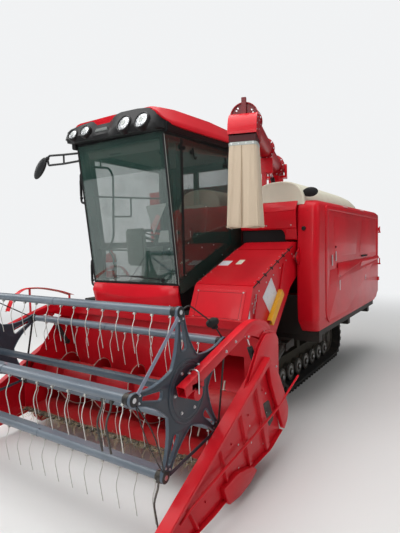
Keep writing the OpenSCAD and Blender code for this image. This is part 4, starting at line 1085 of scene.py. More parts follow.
def side_cover():
    s = Shape()
    s.rings([cover_row(*row, 0.024) for row in COVER_ROWS])
    # Raised border round a recessed upper panel
    border = rounded(((0.14, 0.9), (0.14, 1.96), (2.57, 1.96), (2.57, 0.93), (2.45, 0.8), (0.24, 0.8)),
            0.05, 4)
    upper = rounded(((0.235, 1.32), (0.235, 1.915), (2.5, 1.9), (2.5, 1.39)), 0.045, 5)
    s.plate(X, [border, upper], COVER_FACE - 0.003, COVER_FACE + 0.007, 0.004)
    # Ledge with its bright slanted face and the facets under it
    face = COVER_FACE + 0.006
    for start, end, drop in ((0.53, 1.5, 0.16), (1.5, 2.58, 0.1)):
        s.solid([(face, start, 1.385), (face, end, 1.385), (face, start, 1.385 - drop),
                (face + 0.016, start + 0.02, 1.352), (face + 0.016, end - 0.005, 1.352),
                (face, end, 1.335), (face + 0.004, start + 0.05, 1.39 - drop)])
    # Long diagonal facet
    s.solid([(face, 0.2, 0.83), (face, 0.56, 1.2), (face, 2.25, 1.3), (face + 0.011, 0.52, 0.9),
            (face + 0.011, 1.9, 1.24), (face, 0.9, 0.83)], 0.002)
    # Upper panel's shallow folds
    inner = COVER_FACE + 0.001
    s.solid(at_x(inner, ((0.42, 1.86), (0.42, 1.45), (1.45, 1.84), (1.3, 1.45))) + at_x(inner + 0.004,
            ((0.44, 1.84), (0.44, 1.47), (1.42, 1.82), (1.28, 1.47))), 0.001)
    s.solid(at_x(inner, ((1.62, 1.86), (2.42, 1.86), (1.5, 1.44), (2.42, 1.44))) + at_x(inner + 0.004,
            ((1.64, 1.84), (2.4, 1.84), (1.53, 1.46), (2.4, 1.46))), 0.001)
    # Hinge leaves at the rear
    for z in (1.05, 1.75):
        s.block((1.275, 2.54, z - 0.02), (1.322, 2.585, z + 0.03), 0.002)
    # Latches, vents and blank reflectors
    s.use(1)
    for y, z, tall in ((0.46, 1.505, 0.1), (0.335, 1.475, 0.11), (0.6, 1.2, 0.11), (1.78, 1.215, 0.1)):
        s.block((face - 0.001, y - 0.011, z - tall), (face + 0.006, y + 0.011, z), 0.0025)
    s.use(2)
    for y, z in ((0.46, 1.55), (0.6, 1.245), (1.78, 1.25), (0.72, 1.33), (1.2, 1.36)):
        s.disc((face - 0.002, y, z), X, 0.012, 0.008, 0.003, 20)
    s.block((face - 0.002, 1.56, 1.405), (face + 0.01, 1.86, 1.425))
    for y in (0.8, 0.95, 1.1):
        s.disc((COVER_FACE - 0.002, y, 1.955), (1, 0, 0.4), 0.004, 0.004, 0.001, 10)
    s.use(3)
    for y in (0.94, 1.7):
        s.solid([(x, y + dy, z) for x, z in ((1.286, 1.972), (1.262, 1.9925), (1.289, 1.974),
                (1.264, 1.9955)) for dy in (-0.09, 0.09)], 0)
    s.use(2)
    # Knob on the front strip
    y = cover_front(1.735)
    s.turned([(0, 0), (0.016, 0), (0.02, 0.004), (0.02, 0.012), (0.016, 0.018), (0, 0.019)],
            (1.165, y + 0.001, 1.735), (0, -1, 0.1), 24)
    s.disc((1.2, cover_front(1.9) - 0.002, 1.9), (0, -1, 0.3), 0.003, 0.004, 0.001, 10)
    s.piece("side_cover_shell", "side_cover", RED, BRIGHT, SOFT_BLACK, PALE_RED, stands_for=("side_cover",))


# Front upper panel above the feeder, with the small mirror on it

def front_panel():
    s = Shape()
    # Depth in front of the threshing body's wall against height
    profile = ((1.735, 0.05), (1.745, 0.06), (1.8, 0.064), (1.895, 0.068), (1.925, 0.062), (1.975, 0.034),
            (1.998, 0.008), (2.003, -0.03))

    def face(left, right, rows):
        rings = []
        for z, out in rows:
            rings.append([(left, -0.043 - out, z), (right, -0.043 - out, z),
                    (right, -0.043 - out + 0.012, z - 0.004), (left, -0.043 - out + 0.012, z - 0.004)])
        s.rings(rings)

    face(0.522, 1.098, profile)
    face(0.985, 1.098, ((1.632, 0.03), (1.64, 0.042), (1.7, 0.05), (1.737, 0.052)))
    # Rounded corner of the slot, and a black block behind it that paints the slot's shade
    corner = ((0.99, 1.74), (0.99, 1.665), (0.982, 1.7), (0.962, 1.726), (0.93, 1.74))
    s.plate(Y, corner, -0.1, -0.086, 0.001)
    s.solid([(0.78, -0.108, 1.885), (1.098, -0.108, 1.905), (0.78, -0.113, 1.897), (1.098, -0.113, 1.917),
            (0.83, -0.098, 1.94), (1.098, -0.098, 1.95)], 0.002)
    # Black block in the slot: painted shade
    s.use(1)
    s.block((0.524, -0.066, 1.6), (0.985, -0.044, 1.742))
    s.use(2)
    for x in (0.6, 0.8, 1.05):
        s.bolt((x, -0.1075, 1.77), (0, -1, 0), 0.006)
    # Small round-cornered mirror on a bent stem
    s.use(1)
    s.tube([(1.13, 0.02, 1.965), (1.13, 0.01, 2.03), (1.17, 0.0, 2.06)], 0.006, 0.02, 8)
    s.tube([(1.06, 0.03, 2.004), (1.13, 0.02, 2.008)], 0.01, sides=10)
    s.ball((1.205, -0.01, 2.075), 1.0, (0.075, 0.026, 0.045), 24)
    s.piece("front_panel", "machine", RED, SOFT_BLACK, BRIGHT, stands_for=("front_cover",))


# Drum cover: a pale arch with a rounded rear end

def drum_cover():
    s = Shape()
    middle, foot = 0.9, 1.9605
    rows = ((-0.052, 0.235, 0.205), (-0.058, 0.25, 0.221), (-0.055, 0.262, 0.229), (-0.04, 0.265, 0.232),
            (0.3, 0.266, 0.232), (0.9, 0.266, 0.23), (1.5, 0.264, 0.222), (1.8, 0.26, 0.205),
            (2.0, 0.245, 0.17), (2.1, 0.22, 0.128), (2.16, 0.18, 0.078), (2.178, 0.14, 0.03))

    def arch(y, half, tall, cut):
        ring = []
        for step in range(25):
            a = pi * step / 24
            c, d = cos(a), sin(a)
            ring.append((middle + (half - cut) * copysign(abs(c) ** 0.72, c), y,
                    foot + max(0.001, (tall - cut)) * d ** 0.86))
        return ring

    s.rings([arch(y, half, tall, 0) for y, half, tall in rows])
    for side in (0.27, -0.27):
        s.strap([(middle + side, y, foot + 0.006) for y in (-0.04, 1.9)], 0.016, 0.004, up=Z)
    s.use(1)
    for x in (middle - 0.268, middle + 0.268):
        for y in (0.2, 0.7, 1.2, 1.7):
            s.bolt((x, y, foot + 0.008), Z, 0.006)
    s.piece("drum_shell", "machine", CREAM, BRIGHT, stands_for=("drum_cover",))


# Unloading auger: built along X from the turret's axis, then turned to its resting place

BOOM_TURN = -72.13
BOOM_Z = 2.62
TILT_EYE = (0.7, 2.47)
BOOM_PLACE = Matrix.Translation((0.15, 1.65, 0)) @ Matrix.Rotation(radians(BOOM_TURN), 4, "Z")


def flange(s, at, axis, inner, outer, count, thick=0.012):
    """A bolted pair of rings round a tube."""
    axis = Vector(axis).normalized()
    profile = [(inner, -thick), (outer, -thick), (outer, -0.001), (outer - 0.002, 0), (outer, 0.001),
            (outer, thick), (inner, thick)]
    s.turned(profile, at, axis, 48)
    turn = frame_to(axis)
    slot = s.slot
    s.use(1)
    for k in range(count):
        a = 2 * pi * (k + 0.5) / count
        r = (inner + outer) / 2 + 0.004
        spot = Vector(at) + turn.to_3x3() @ Vector((r * cos(a), r * sin(a), 0))
        s.bolt(spot + axis * (thick - 0.001), axis, 0.007)
        s.bolt(spot - axis * (thick - 0.001), -axis, 0.007)
    s.use(slot)


def boom():
    s = Shape()
    z = BOOM_Z
    # Most of the boom is in the shaded red: painted shade
    s.use(0)
    s.tube([(0.0, 0, z - 0.097), (0.0, 0, z - 0.01), (0.1, 0, z), (0.24, 0, z)], 0.105, 0.09, 40)
    flange(s, (0.25, 0, z), X, 0.09, 0.136, 10)
    s.tube([(0.25, 0, z), (2.44, 0, z)], 0.091, sides=44)
    flange(s, (1.35, 0, z), X, 0.088, 0.118, 10, 0.009)
    s.use(0)
    # Trunnion that turns in the turret's ears
    s.tube([(0, -0.15, z), (0, 0.15, z)], 0.026, sides=28)
    for v in (-0.112, 0.112):
        s.disc((0, v - copysign(0.006, v), z), (0, copysign(1, v), 0), 0.062, 0.01)
    # Ears of the tilt cylinder
    for v in (-0.022, 0.022):
        s.plate(Y, rounded(((0.62, z - 0.055), (0.78, z - 0.055), (0.735, TILT_EYE[1] - 0.03),
                (0.665, TILT_EYE[1] - 0.03)), 0.03, 5), v - 0.005, v + 0.005, 0.001)
    s.use(1)
    s.tube([(TILT_EYE[0], -0.027, TILT_EYE[1]), (TILT_EYE[0], 0.027, TILT_EYE[1])], 0.0135, sides=20)
    s.use(0)
    # Head: end ring, dome with its end plate and upright rib
    flange(s, (2.44, 0, z), X, 0.09, 0.124, 12, 0.009)
    half = 0.107
    arc = [(half * cos(a), z + half * sin(a)) for a in [pi * k / 20 for k in range(21)]]
    outer = arc + [(-half, 2.45), (half, 2.45)]
    ring = [(v * 1.028, z + (w - z) * 1.028) for v, w in outer]
    s.rings([at_x(u, ring) for u in (2.45, 2.617)] + [at_x(u, outer) for u in (2.617, 2.45)], closed=True)
    s.strap(at_x(2.609, [(half * 1.06, 2.47)] + [(a * 1.06, z + (b - z) * 1.06) for a, b in arc]
            + [(-half * 1.06, 2.47)]), 0.018, 0.004, up=Y)
    s.use(2)
    inner = [(v * 0.985, z + (w - z) * 0.985) for v, w in arc + [(-half, 2.56), (half, 2.56)]]
    s.rings([at_x(u, inner) for u in (2.6, 2.606)])
    s.block((2.606, -0.019, 2.6), (2.63, 0.019, 2.7695), 0.002)
    s.use(1)
    for v, w in ((-0.062, 2.672), (0.062, 2.672), (-0.05, 2.69), (0.07, 2.65)):
        s.bolt((2.606, v, w), X, 0.006)
    # Hood band that turns the crop down, in the plain red and so lighter than the boom's painted shade, with
    # cheeks beside it
    s.use(3)
    band = [(2.606, 2.642), (2.632, 2.64), (2.668, 2.622), (2.704, 2.585), (2.728, 2.535), (2.738, 2.48),
            (2.738, 2.462)]
    s.strap([(u, 0, w) for u, w in band], 0.229, 0.004, 0.03, up=Z)
    s.use(0)
    cheek = [(2.56, 2.45), (2.56, 2.638)] + band
    for v in (-0.1135, 0.1095):
        s.plate(Y, cheek, v, v + 0.004, 0.0008)
    s.use(1)
    for v, way in ((-0.1135, -1), (0.1135, 1)):
        for u, w in ((2.5, 2.66), (2.55, 2.6), (2.59, 2.52), (2.65, 2.6), (2.7, 2.54), (2.72, 2.49),
                (2.6, 2.64)):
            s.bolt((u, v, w), (0, way, 0), 0.0055)
    # Square throat above the sleeve, whose dark red paints the shade inside the mouth
    s.use(4)
    for low, high in (((2.52, -0.108, 2.405), (2.524, 0.108, 2.6)),
            ((2.524, -0.108, 2.405), (2.722, -0.104, 2.47)), ((2.524, 0.104, 2.405), (2.722, 0.108, 2.47)),
            ((2.718, -0.108, 2.405), (2.722, 0.108, 2.455))):
        s.block(low, high, 0.001)
    s.block((2.53, -0.1, 2.52), (2.6, 0.1, 2.6), 0.004)
    Shape().merge(s, BOOM_PLACE).piece("boom_tube", "boom", SHADED_RED, BRIGHT, SHADE_RED, RED, GAP_SHADE_RED,
            stands_for=("boom",))


def spout():
    """Canvas sleeve under the head: clamped at its top, wider below, creased down its length."""
    s = Shape()
    top, bottom = 2.395, 1.737
    rows = 26

    def ring(t, cut):
        z = top + (bottom - top) * t
        half_v = 0.1095 + 0.0245 * t ** 0.8 - cut
        half_u = 0.1015 + 0.012 * t - cut
        middle = 2.6225
        outline = []
        sides = 22
        corners = ((1, -1), (1, 1), (-1, 1), (-1, -1))
        for k, (a, b) in enumerate(corners):
            c, d = corners[(k + 1) % 4]
            for step in range(sides):
                w = step / sides
                u, v = a + (c - a) * w, b + (d - b) * w
                round_off = 0.012 * (abs(u) * abs(v)) ** 8
                belly = sin(pi * w) ** 0.6 * t
                fold = 0.0042 * sin(w * 19 + k * 2.1 + 1.3 * t) * t ** 0.7
                fold += 0.0022 * sin(w * 43 + 5 * t + k)
                seam = -0.004 * exp(-((w - 0.47) * 46) ** 2) if k == 0 else 0.0
                push = 0.007 * belly + fold + seam - round_off
                grow_u, grow_v = (-round_off, push) if k % 2 else (push, -round_off)
                outline.append((middle + u * (half_u + grow_u), v * (half_v + grow_v),
                        z + 0.004 * sin(w * 9 + k) * t))
        return outline

    grown = [ring(j / rows, 0) for j in range(rows + 1)]
    inner = [ring(j / rows, 0.0035) for j in range(rows, -1, -1)]
    s.rings(grown + inner, closed=True)
    cloth = Shape().merge(s, BOOM_PLACE).piece("spout_sleeve", "boom", CANVAS,
            stands_for=("discharge_spout",))
    s = Shape()
    # Seam tape down the front and the hem round the lower edge
    front = [(max(p[0] for p in ring(j / rows, 0)) + 0.0006 - 0.004, -0.006 - 0.004 * j / rows,
            top + (bottom - top) * j / rows) for j in range(rows + 1)]
    s.use(3)
    s.strap(front, 0.008, 0.0035, up=X)
    s.use(0)
    hem = ring(0.985, -0.0012)
    s.strap(hem, 0.014, 0.003, up=X, closed=True)
    s.use(1)
    clamp = [(p[0], p[1], 2.388) for p in ring(0.0, -0.0015)]
    s.strap(clamp, 0.026, 0.0035, up=X, closed=True)
    s.use(2)
    for v in (-0.085, -0.03, 0.03, 0.085):
        s.bolt((2.7245, v, 2.388), X, 0.006)
    for u in (2.56, 2.62, 2.68):
        s.bolt((u, 0.1105, 2.388), Y, 0.006)
        s.bolt((u, -0.1105, 2.388), (0, -1, 0), 0.006)
    bound = Shape().merge(s, BOOM_PLACE).piece("sleeve_binding", "boom", CANVAS, PALE_TRIM, BRIGHT, SEAM)


# Cab: visor, roof and lamps

CAB_MIDDLE = -0.06
LAMPS_AT = ((-0.478, 2.6, 0.043), (-0.322, 2.607, 0.045), (0.13, 2.597, 0.062), (0.316, 2.592, 0.062))
LAMP_FACE = -1.352
LAMP_LEAN = -0.42

# Across, then depth and height of the visor's lower edge, nose and upper edge, and its back's height
VISOR = (
    (-0.628, -1.255, 2.590, -1.262, 2.610, -1.255, 2.632, 2.636),
    (-0.616, -1.290, 2.562, -1.305, 2.606, -1.290, 2.648, 2.652),
    (-0.565, -1.338, 2.534, -1.336, 2.602, -1.292, 2.668, 2.678),
    (-0.430, -1.345, 2.530, -1.342, 2.604, -1.296, 2.682, 2.692),
    (-0.300, -1.342, 2.530, -1.340, 2.602, -1.294, 2.692, 2.700),
    (-0.262, -1.325, 2.528, -1.322, 2.592, -1.285, 2.684, 2.694),
    (-0.235, -1.315, 2.527, -1.312, 2.588, -1.280, 2.680, 2.690),
    (-0.085, -1.315, 2.525, -1.312, 2.588, -1.280, 2.680, 2.690),
    (-0.045, -1.330, 2.524, -1.328, 2.592, -1.286, 2.686, 2.696),
    (0.005, -1.346, 2.522, -1.344, 2.598, -1.296, 2.700, 2.708),
    (0.060, -1.350, 2.521, -1.347, 2.600, -1.300, 2.708, 2.716),
    (0.240, -1.350, 2.516, -1.347, 2.596, -1.300, 2.704, 2.712),
    (0.350, -1.348, 2.514, -1.344, 2.590, -1.298, 2.690, 2.702),
    (0.405, -1.334, 2.514, -1.330, 2.578, -1.292, 2.656, 2.670),
    (0.448, -1.290, 2.515, -1.302, 2.558, -1.284, 2.604, 2.614),
    (0.474, -1.250, 2.518, -1.254, 2.550, -1.248, 2.582, 2.588),
)


def visor():
    s = Shape()
    rings = []
    for x, y0, z0, y1, z1, y2, z2, back in VISOR:
        rings.append([(x, -1.232, z0 + 0.006), (x, (y0 - 1.232) / 2, z0 + 0.001), (x, y0, z0),
                (x, y1 - 0.012, z1 - 0.03), (x, y1, z1), (x, y1 + 0.014, z1 + 0.03), (x, y2, z2),
                (x, (y2 - 1.232) / 2, back), (x, -1.232, back)])
    s.rings(rings)
    # Rim under the roof along both sides
    for x, way in ((0.47, 1), (-0.59, -1)):
        s.solid([(x + dx * way, y, z) for dx, y, z in ((-0.03, -1.25, 2.49), (0.024, -1.25, 2.5),
                (0.028, -1.25, 2.575), (-0.03, -1.25, 2.585), (-0.03, 0.12, 2.542), (0.012, 0.12, 2.545),
                (0.016, 0.12, 2.585), (-0.03, 0.12, 2.6))], 0.006)
    s.block((-0.6, -1.235, 2.512), (0.48, -1.2, 2.542), 0.004)
    s.solid(prism((-0.56, 0.44), ((0.085, 2.541), (0.125, 2.545), (0.125, 2.6), (0.085, 2.6))), 0.004)
    # Bezel rings round the lamps
    for x, z, r in LAMPS_AT:
        s.turned([(r - 0.002, 0.024), (r + 0.001, 0.0), (r + 0.006, -0.0015), (r + 0.011, 0.002),
                (r + 0.014, 0.01), (r + 0.014, 0.05), (r - 0.002, 0.05)], (x, LAMP_FACE - 0.004, z),
                (0.05 if x > 0 else -0.05, 1, LAMP_LEAN), 40)
    # Grey strip in the middle recess
    s.use(1)
    s.solid([(-0.225, -1.313, 2.585), (-0.225, -1.3, 2.615), (-0.085, -1.313, 2.582),
            (-0.105, -1.3, 2.612), (-0.235, -1.318, 2.59), (-0.232, -1.306, 2.618),
            (-0.08, -1.3185, 2.588), (-0.102, -1.3065, 2.618)], 0.002)
    s.use(2)
    for x in (-0.55, -0.38, -0.2, -0.02, 0.1, 0.36, 0.44):
        s.bolt((x, -1.285, 2.494 if x > 0 else 2.505), (0, -0.3, -1), 0.005)
    s.piece("roof_visor_shell", "machine", VISOR_BLACK, GREY_TRIM, DARK_STEEL, stands_for=("roof_visor",))


def lamp_set():
    s = Shape()
    for x, z, r in LAMPS_AT:
        axis = (0.05 if x > 0 else -0.05, 1, LAMP_LEAN)
        s.use(0)
        s.turned([(0, -0.006), (r * 0.35, -0.0055), (r * 0.7, -0.003), (r - 0.001, 0.002),
                (r - 0.001, 0.012), (0, 0.012)], (x, LAMP_FACE, z), axis, 40)
        s.use(1)
        s.turned([(r * 0.3, -0.0075), (r * 0.34, -0.008), (r * 0.37, -0.006), (r * 0.37, -0.002),
                (r * 0.3, -0.002)], (x, LAMP_FACE, z), axis)
    s.piece("lamp_lenses", "machine", LENS, PALE_TRIM, stands_for=("lamps",))


def roof():
    """Faceted roof: a flat middle, a slope on each side and a front edge that rises over the lamps."""
    s = Shape()
    # Along, then half width and height of the edge, of the slope's foot, of its top, and the middle's height
    rows = ((-1.288, 0.5, 2.64, 0.495, 2.65, 0.41, 2.7, 2.706),
            (-1.262, 0.53, 2.6, 0.526, 2.612, 0.42, 2.712, 2.714),
            (-1.2, 0.563, 2.56, 0.562, 2.58, 0.44, 2.716, 2.716),
            (-1.05, 0.572, 2.556, 0.569, 2.584, 0.47, 2.724, 2.726),
            (-0.56, 0.57, 2.57, 0.564, 2.602, 0.5, 2.728, 2.729),
            (-0.1, 0.566, 2.586, 0.56, 2.616, 0.49, 2.722, 2.727),
            (0.08, 0.56, 2.588, 0.548, 2.618, 0.44, 2.694, 2.7),
            (0.128, 0.548, 2.59, 0.532, 2.608, 0.4, 2.65, 2.656))
    rings = []
    for y, h0, z0, h1, z1, h2, z2, zm in rows:
        half = [(h0, z0), (h1, z1), (h1 * 0.86 + h2 * 0.14, z1 * 0.84 + z2 * 0.16),
                (h2 + 0.012, z2 - 0.006), (h2 - 0.02, z2), (h2 * 0.5, (z2 + zm) / 2)]
        ring = [(CAB_MIDDLE + h, y, z) for h, z in half] + [(CAB_MIDDLE, y, zm)] + [(CAB_MIDDLE - h, y, z)
                for h, z in reversed(half)]
        ring += [(CAB_MIDDLE - h0 + 0.03, y, z0 - 0.004), (CAB_MIDDLE + h0 - 0.03, y, z0 - 0.004)]
        rings.append(ring)
    s.rings(rings)
    # Raised ribs along the top and the hatch at the rear
    for x in (-0.3, -0.06, 0.18):
        s.solid([(x + dx, y, 2.722 + dz) for y in (-1.02, -0.3)
                for dx, dz in ((-0.035, 0.0), (0.035, 0.0), (-0.022, 0.009), (0.022, 0.009))])
    s.solid([(CAB_MIDDLE + dx, y, z) for dx in (-0.2, 0.2)
            for y, z in ((-0.24, 2.722), (-0.04, 2.715), (-0.23, 2.738), (-0.05, 2.73))], 0.008)
    s.use(1)
    s.tube([(0.28, -0.08, 2.7), (0.28, -0.08, 2.722), (0.285, -0.075, 2.768)], 0.0035, sides=8)
    s.piece("roof_panel", "machine", RED, SOFT_BLACK, stands_for=("cab_roof",))


def band_under_windshield():
    """Red moulding under the windshield: a bright slanted upper face and a curved lower one."""
    s = Shape()
    rings = []
    count = 22
    for i in range(count + 1):
        x = -0.566 + 1.012 * i / count
        t = (x - CAB_MIDDLE) / 0.506
        bow = 0.034 * (1 - t * t)
        end = 0.028 * max(0.0, (abs(t) - 0.93) / 0.07) ** 2
        drop = 0.035 * (1 - abs(t) ** 2.5)
        y = -1.09 - bow + end
        rings.append([(x, -1.052, 1.04), (x, -1.052, 1.095), (x, -1.0815, 1.262), (x, -1.096, 1.266),
                (x, y - 0.014, 1.262 - 0.012), (x, y - 0.038, 1.205 - drop), (x, y - 0.036, 1.192 - drop),
                (x, y - 0.02, 1.135 - drop * 0.6), (x, y - 0.002, 1.075), (x, y + 0.01, 1.04)])
    s.rings(rings)
    s.use(1)
    for x in (-0.5, 0.38):
        s.bolt((x, -1.128, 1.1), (0, -1, -0.2), 0.006)
    s.piece("cab_front_band", "machine", RED, BRIGHT, stands_for=("cab_lower_panel",))


def windshield_y(z):
    return -1.05 - 0.18 * (z - 1.1) / 1.44


# Mirror and grab handles on the right

def mirror():
    s = Shape()
    y = -1.165
    s.block((-0.572, y - 0.045, 2.385), (-0.56, y + 0.035, 2.505), 0.004)
    s.block((-0.6, y - 0.03, 2.46), (-0.566, y + 0.02, 2.5), 0.006)
    s.block((-0.6, y - 0.03, 2.395), (-0.566, y + 0.02, 2.43), 0.006)
    s.tube([(-0.59, y, 2.482), (-0.87, -1.14, 2.505), (-1.105, -1.12, 2.528), (-1.135, -1.12, 2.5),
            (-1.12, -1.12, 2.432), (-1.08, -1.12, 2.432), (-0.87, -1.14, 2.418), (-0.59, y, 2.412)],
            0.0105, 0.035)
    s.tube([(-0.862, -1.141, 2.415), (-0.862, -1.141, 2.506)], 0.009, sides=10)
    s.tube([(-1.12, -1.12, 2.5), (-1.185, -1.13, 2.46)], 0.01, sides=10)
    s.ball((-1.135, -1.12, 2.505), 0.02)
    turn = Matrix.Translation((-1.238, -1.132, 2.414)) @ Matrix.Rotation(radians(-45), 4, "Y")
    body = Shape()
    body.ball((0, 0, 0), 1.0, (0.134, 0.028, 0.058), 32)
    body.use(1)
    body.ball((0, 0.006, 0), 1.0, (0.122, 0.0245, 0.05), 32)
    s.merge(body, turn)
    s.use(2)
    for z in (2.395, 2.49):
        s.bolt((-0.5665, y - 0.04, z), (0, -1, 0), 0.006)
    s.piece("mirror_on_arms", "machine", BLACK, MIRROR, BRIGHT, stands_for=("mirror",))


def handles():
    s = Shape()
    for low, high in ((1.23, 1.48), (2.02, 2.3)):
        y = windshield_y((low + high) / 2) + 0.04
        out = -0.6315
        s.use(0)
        s.tube([(-0.56, y, low), (out, y, low), (out, y, high), (-0.56, y, high)], 0.0105, 0.038)
        for z in (low, high):
            s.disc((-0.5605, y, z), (-1, 0, 0), 0.021, 0.014, 0.004, 24)
            s.tube([(-0.575, y, z), (-0.598, y, z)], 0.0135, sides=16)
        s.use(1)
        s.turned([(0.0105, 0), (0.0125, 0.002), (0.0125, 0.148), (0.0105, 0.15)],
                (out, y, (low + high) / 2 - 0.075), Z, 20)
        s.ball((out + 0.004, y, low + 0.048), 0.016)
        s.use(2)
        for z in (low, high):
            for dy in (-0.014, 0.014):
                s.bolt((-0.573, y + dy, z), (-1, 0, 0), 0.004)
    s.piece("grab_bars", "machine", BLACK, SOFT_BLACK, BRIGHT, stands_for=("grab_handles",))


# Inside the cab

def seat():
    s = Shape()
    s.use(0)
    s.block((-0.23, -0.55, 1.142), (0.09, -0.19, 1.2), 0.02)
    for k in range(5):
        s.block((-0.215 + 0.004 * (k % 2), -0.535 + 0.004 * (k % 2), 1.2 + 0.024 * k),
                (0.075 - 0.004 * (k % 2), -0.205 - 0.004 * (k % 2), 1.222 + 0.024 * k), 0.008)
    s.block((-0.245, -0.6, 1.32), (0.105, -0.17, 1.345), 0.01)
    s.use(1)
    for x in (-0.285, 0.118):
        s.block((x, -0.48, 1.6), (x + 0.028, -0.22, 1.635), 0.012)
        s.tube([(x + 0.014, -0.24, 1.612), (x + 0.014, -0.17, 1.52)], 0.012, sides=10)
    s.use(2)
    s.tube([(-0.2, -0.6, 1.335), (-0.2, -0.64, 1.335), (0.06, -0.64, 1.335), (0.06, -0.6, 1.335)], 0.006,
            0.02, 8)
    s.piece("seat_frame", "machine", BLACK, SOFT_BLACK, DARK_STEEL, stands_for=("seat",))

    def cushion(name, wide, deep, thick, place):
        c = Shape()
        rows = []
        for j in range(17):
            v = j / 16 * 2 - 1
            ring = []
            for i in range(40):
                a = 2 * pi * i / 40
                x = copysign(abs(cos(a)) ** 0.5, cos(a))
                z = copysign(abs(sin(a)) ** 0.7, sin(a))
                pull = 1 - 0.04 * (1 - v * v) * abs(x) ** 6
                end = (1 - abs(v) ** 5) ** 0.5
                groove = 1 - 0.12 * exp(-((abs(x) - 0.6) * 12) ** 2) * (z > 0)
                ring.append((x * wide / 2 * pull * (0.93 + 0.07 * end), v * deep / 2,
                        z * thick / 2 * max(0.08, end) * groove))
            rows.append(ring)
        c.rings(rows)
        made = Shape().merge(c, place).piece(name, "machine", SEAT_CLOTH)
        return made

    cushion("seat_cushion", 0.4, 0.45, 0.11, Matrix.Translation((-0.07, -0.405,
            1.396)) @ Matrix.Rotation(radians(-4), 4, "X"))
    lean = Matrix.Translation((-0.07, -0.15, 1.74)) @ Matrix.Rotation(radians(78), 4, "X")
    cushion("seat_back", 0.38, 0.58, 0.11, lean)


def console():
    s = Shape()
    s.use(0)
    s.solid([(0.205, -0.88, 1.142), (0.395, -0.88, 1.142), (0.395, -0.17, 1.142), (0.205, -0.17, 1.142),
            (0.195, -0.86, 1.56), (0.395, -0.86, 1.58), (0.395, -0.17, 1.62), (0.195, -0.17, 1.6)], 0.018)
    s.use(1)
    s.solid([(0.195, -0.9, 1.565), (0.394, -0.9, 1.585), (0.394, -0.55, 1.604), (0.195, -0.55, 1.584),
            (0.195, -0.9, 1.58), (0.394, -0.9, 1.6), (0.394, -0.55, 1.619), (0.195, -0.55, 1.6)], 0.005)
    s.use(0)
    s.solid([(-0.115, -0.955, 1.142), (0.0, -0.955, 1.142), (0.0, -0.84, 1.142), (-0.115, -0.84, 1.142),
            (-0.1, -0.9, 1.58), (-0.025, -0.9, 1.58), (-0.025, -0.66, 1.6), (-0.1, -0.66, 1.6)], 0.014)
    # Box with the instruments before the wheel, and the pale panel over the console
    s.solid([(x, y + d, z) for x in (-0.245, -0.02) for y, z in ((-0.955, 1.42), (-0.985, 1.765))
            for d in (0.0, 0.055)], 0.018)
    s.use(1)
    s.solid([(x, y + d, z) for x in (0.135, 0.385) for y, z in ((-0.965, 1.632), (-0.925, 1.738))
            for d in (0.0, 0.018)], 0.006)
    s.use(2)
    s.solid(prism((-0.215, -0.05), ((-0.9, 1.5), (-0.905, 1.72), (-0.925, 1.5), (-0.93, 1.72))), 0.004)
    hub = Vector((-0.065, -0.7, 1.69))
    tilt = Matrix.Translation(hub) @ Matrix.Rotation(radians(-20), 4, "X")
    wheel = Shape()
    wheel.use(2)
    wheel.tube([(*p, 0) for p in circle(0.17, 48)], 0.0125, closed=True, sides=14)
    wheel.disc((0, 0, -0.02), Z, 0.045, 0.028, 0.008)
    for a in (0, 120, 240):
        way = Vector((cos(radians(a)), sin(radians(a)), 0))
        wheel.strap([way * 0.03, way * 0.1 + Vector((0, 0, -0.006)), way * 0.162], 0.022, 0.008, up=Z)
    wheel.tube([(0, 0, -0.1), (0, 0, -0.01)], 0.03, sides=24)
    s.merge(wheel, tilt)
    # Levers with knobs
    for x, y, tall in ((0.24, -0.7, 0.13), (0.29, -0.66, 0.15), (0.34, -0.62, 0.12)):
        s.use(3)
        s.tube([(x, y, 1.6), (x + 0.006, y - 0.02, 1.6 + tall)], 0.005, sides=10)
        s.use(2)
        s.ball((x + 0.006, y - 0.02, 1.6 + tall), 0.017)
    s.use(4)
    for z in (1.555, 1.52):
        s.disc((0.235, -0.872, z), (0, -1, 0), 0.009, 0.01, 0.002, 16)
    s.piece("console_and_wheel", "machine", CONSOLE_GREY, PALE_TRIM, SOFT_BLACK, BRIGHT, PALE_TRIM,
            stands_for=("console",))


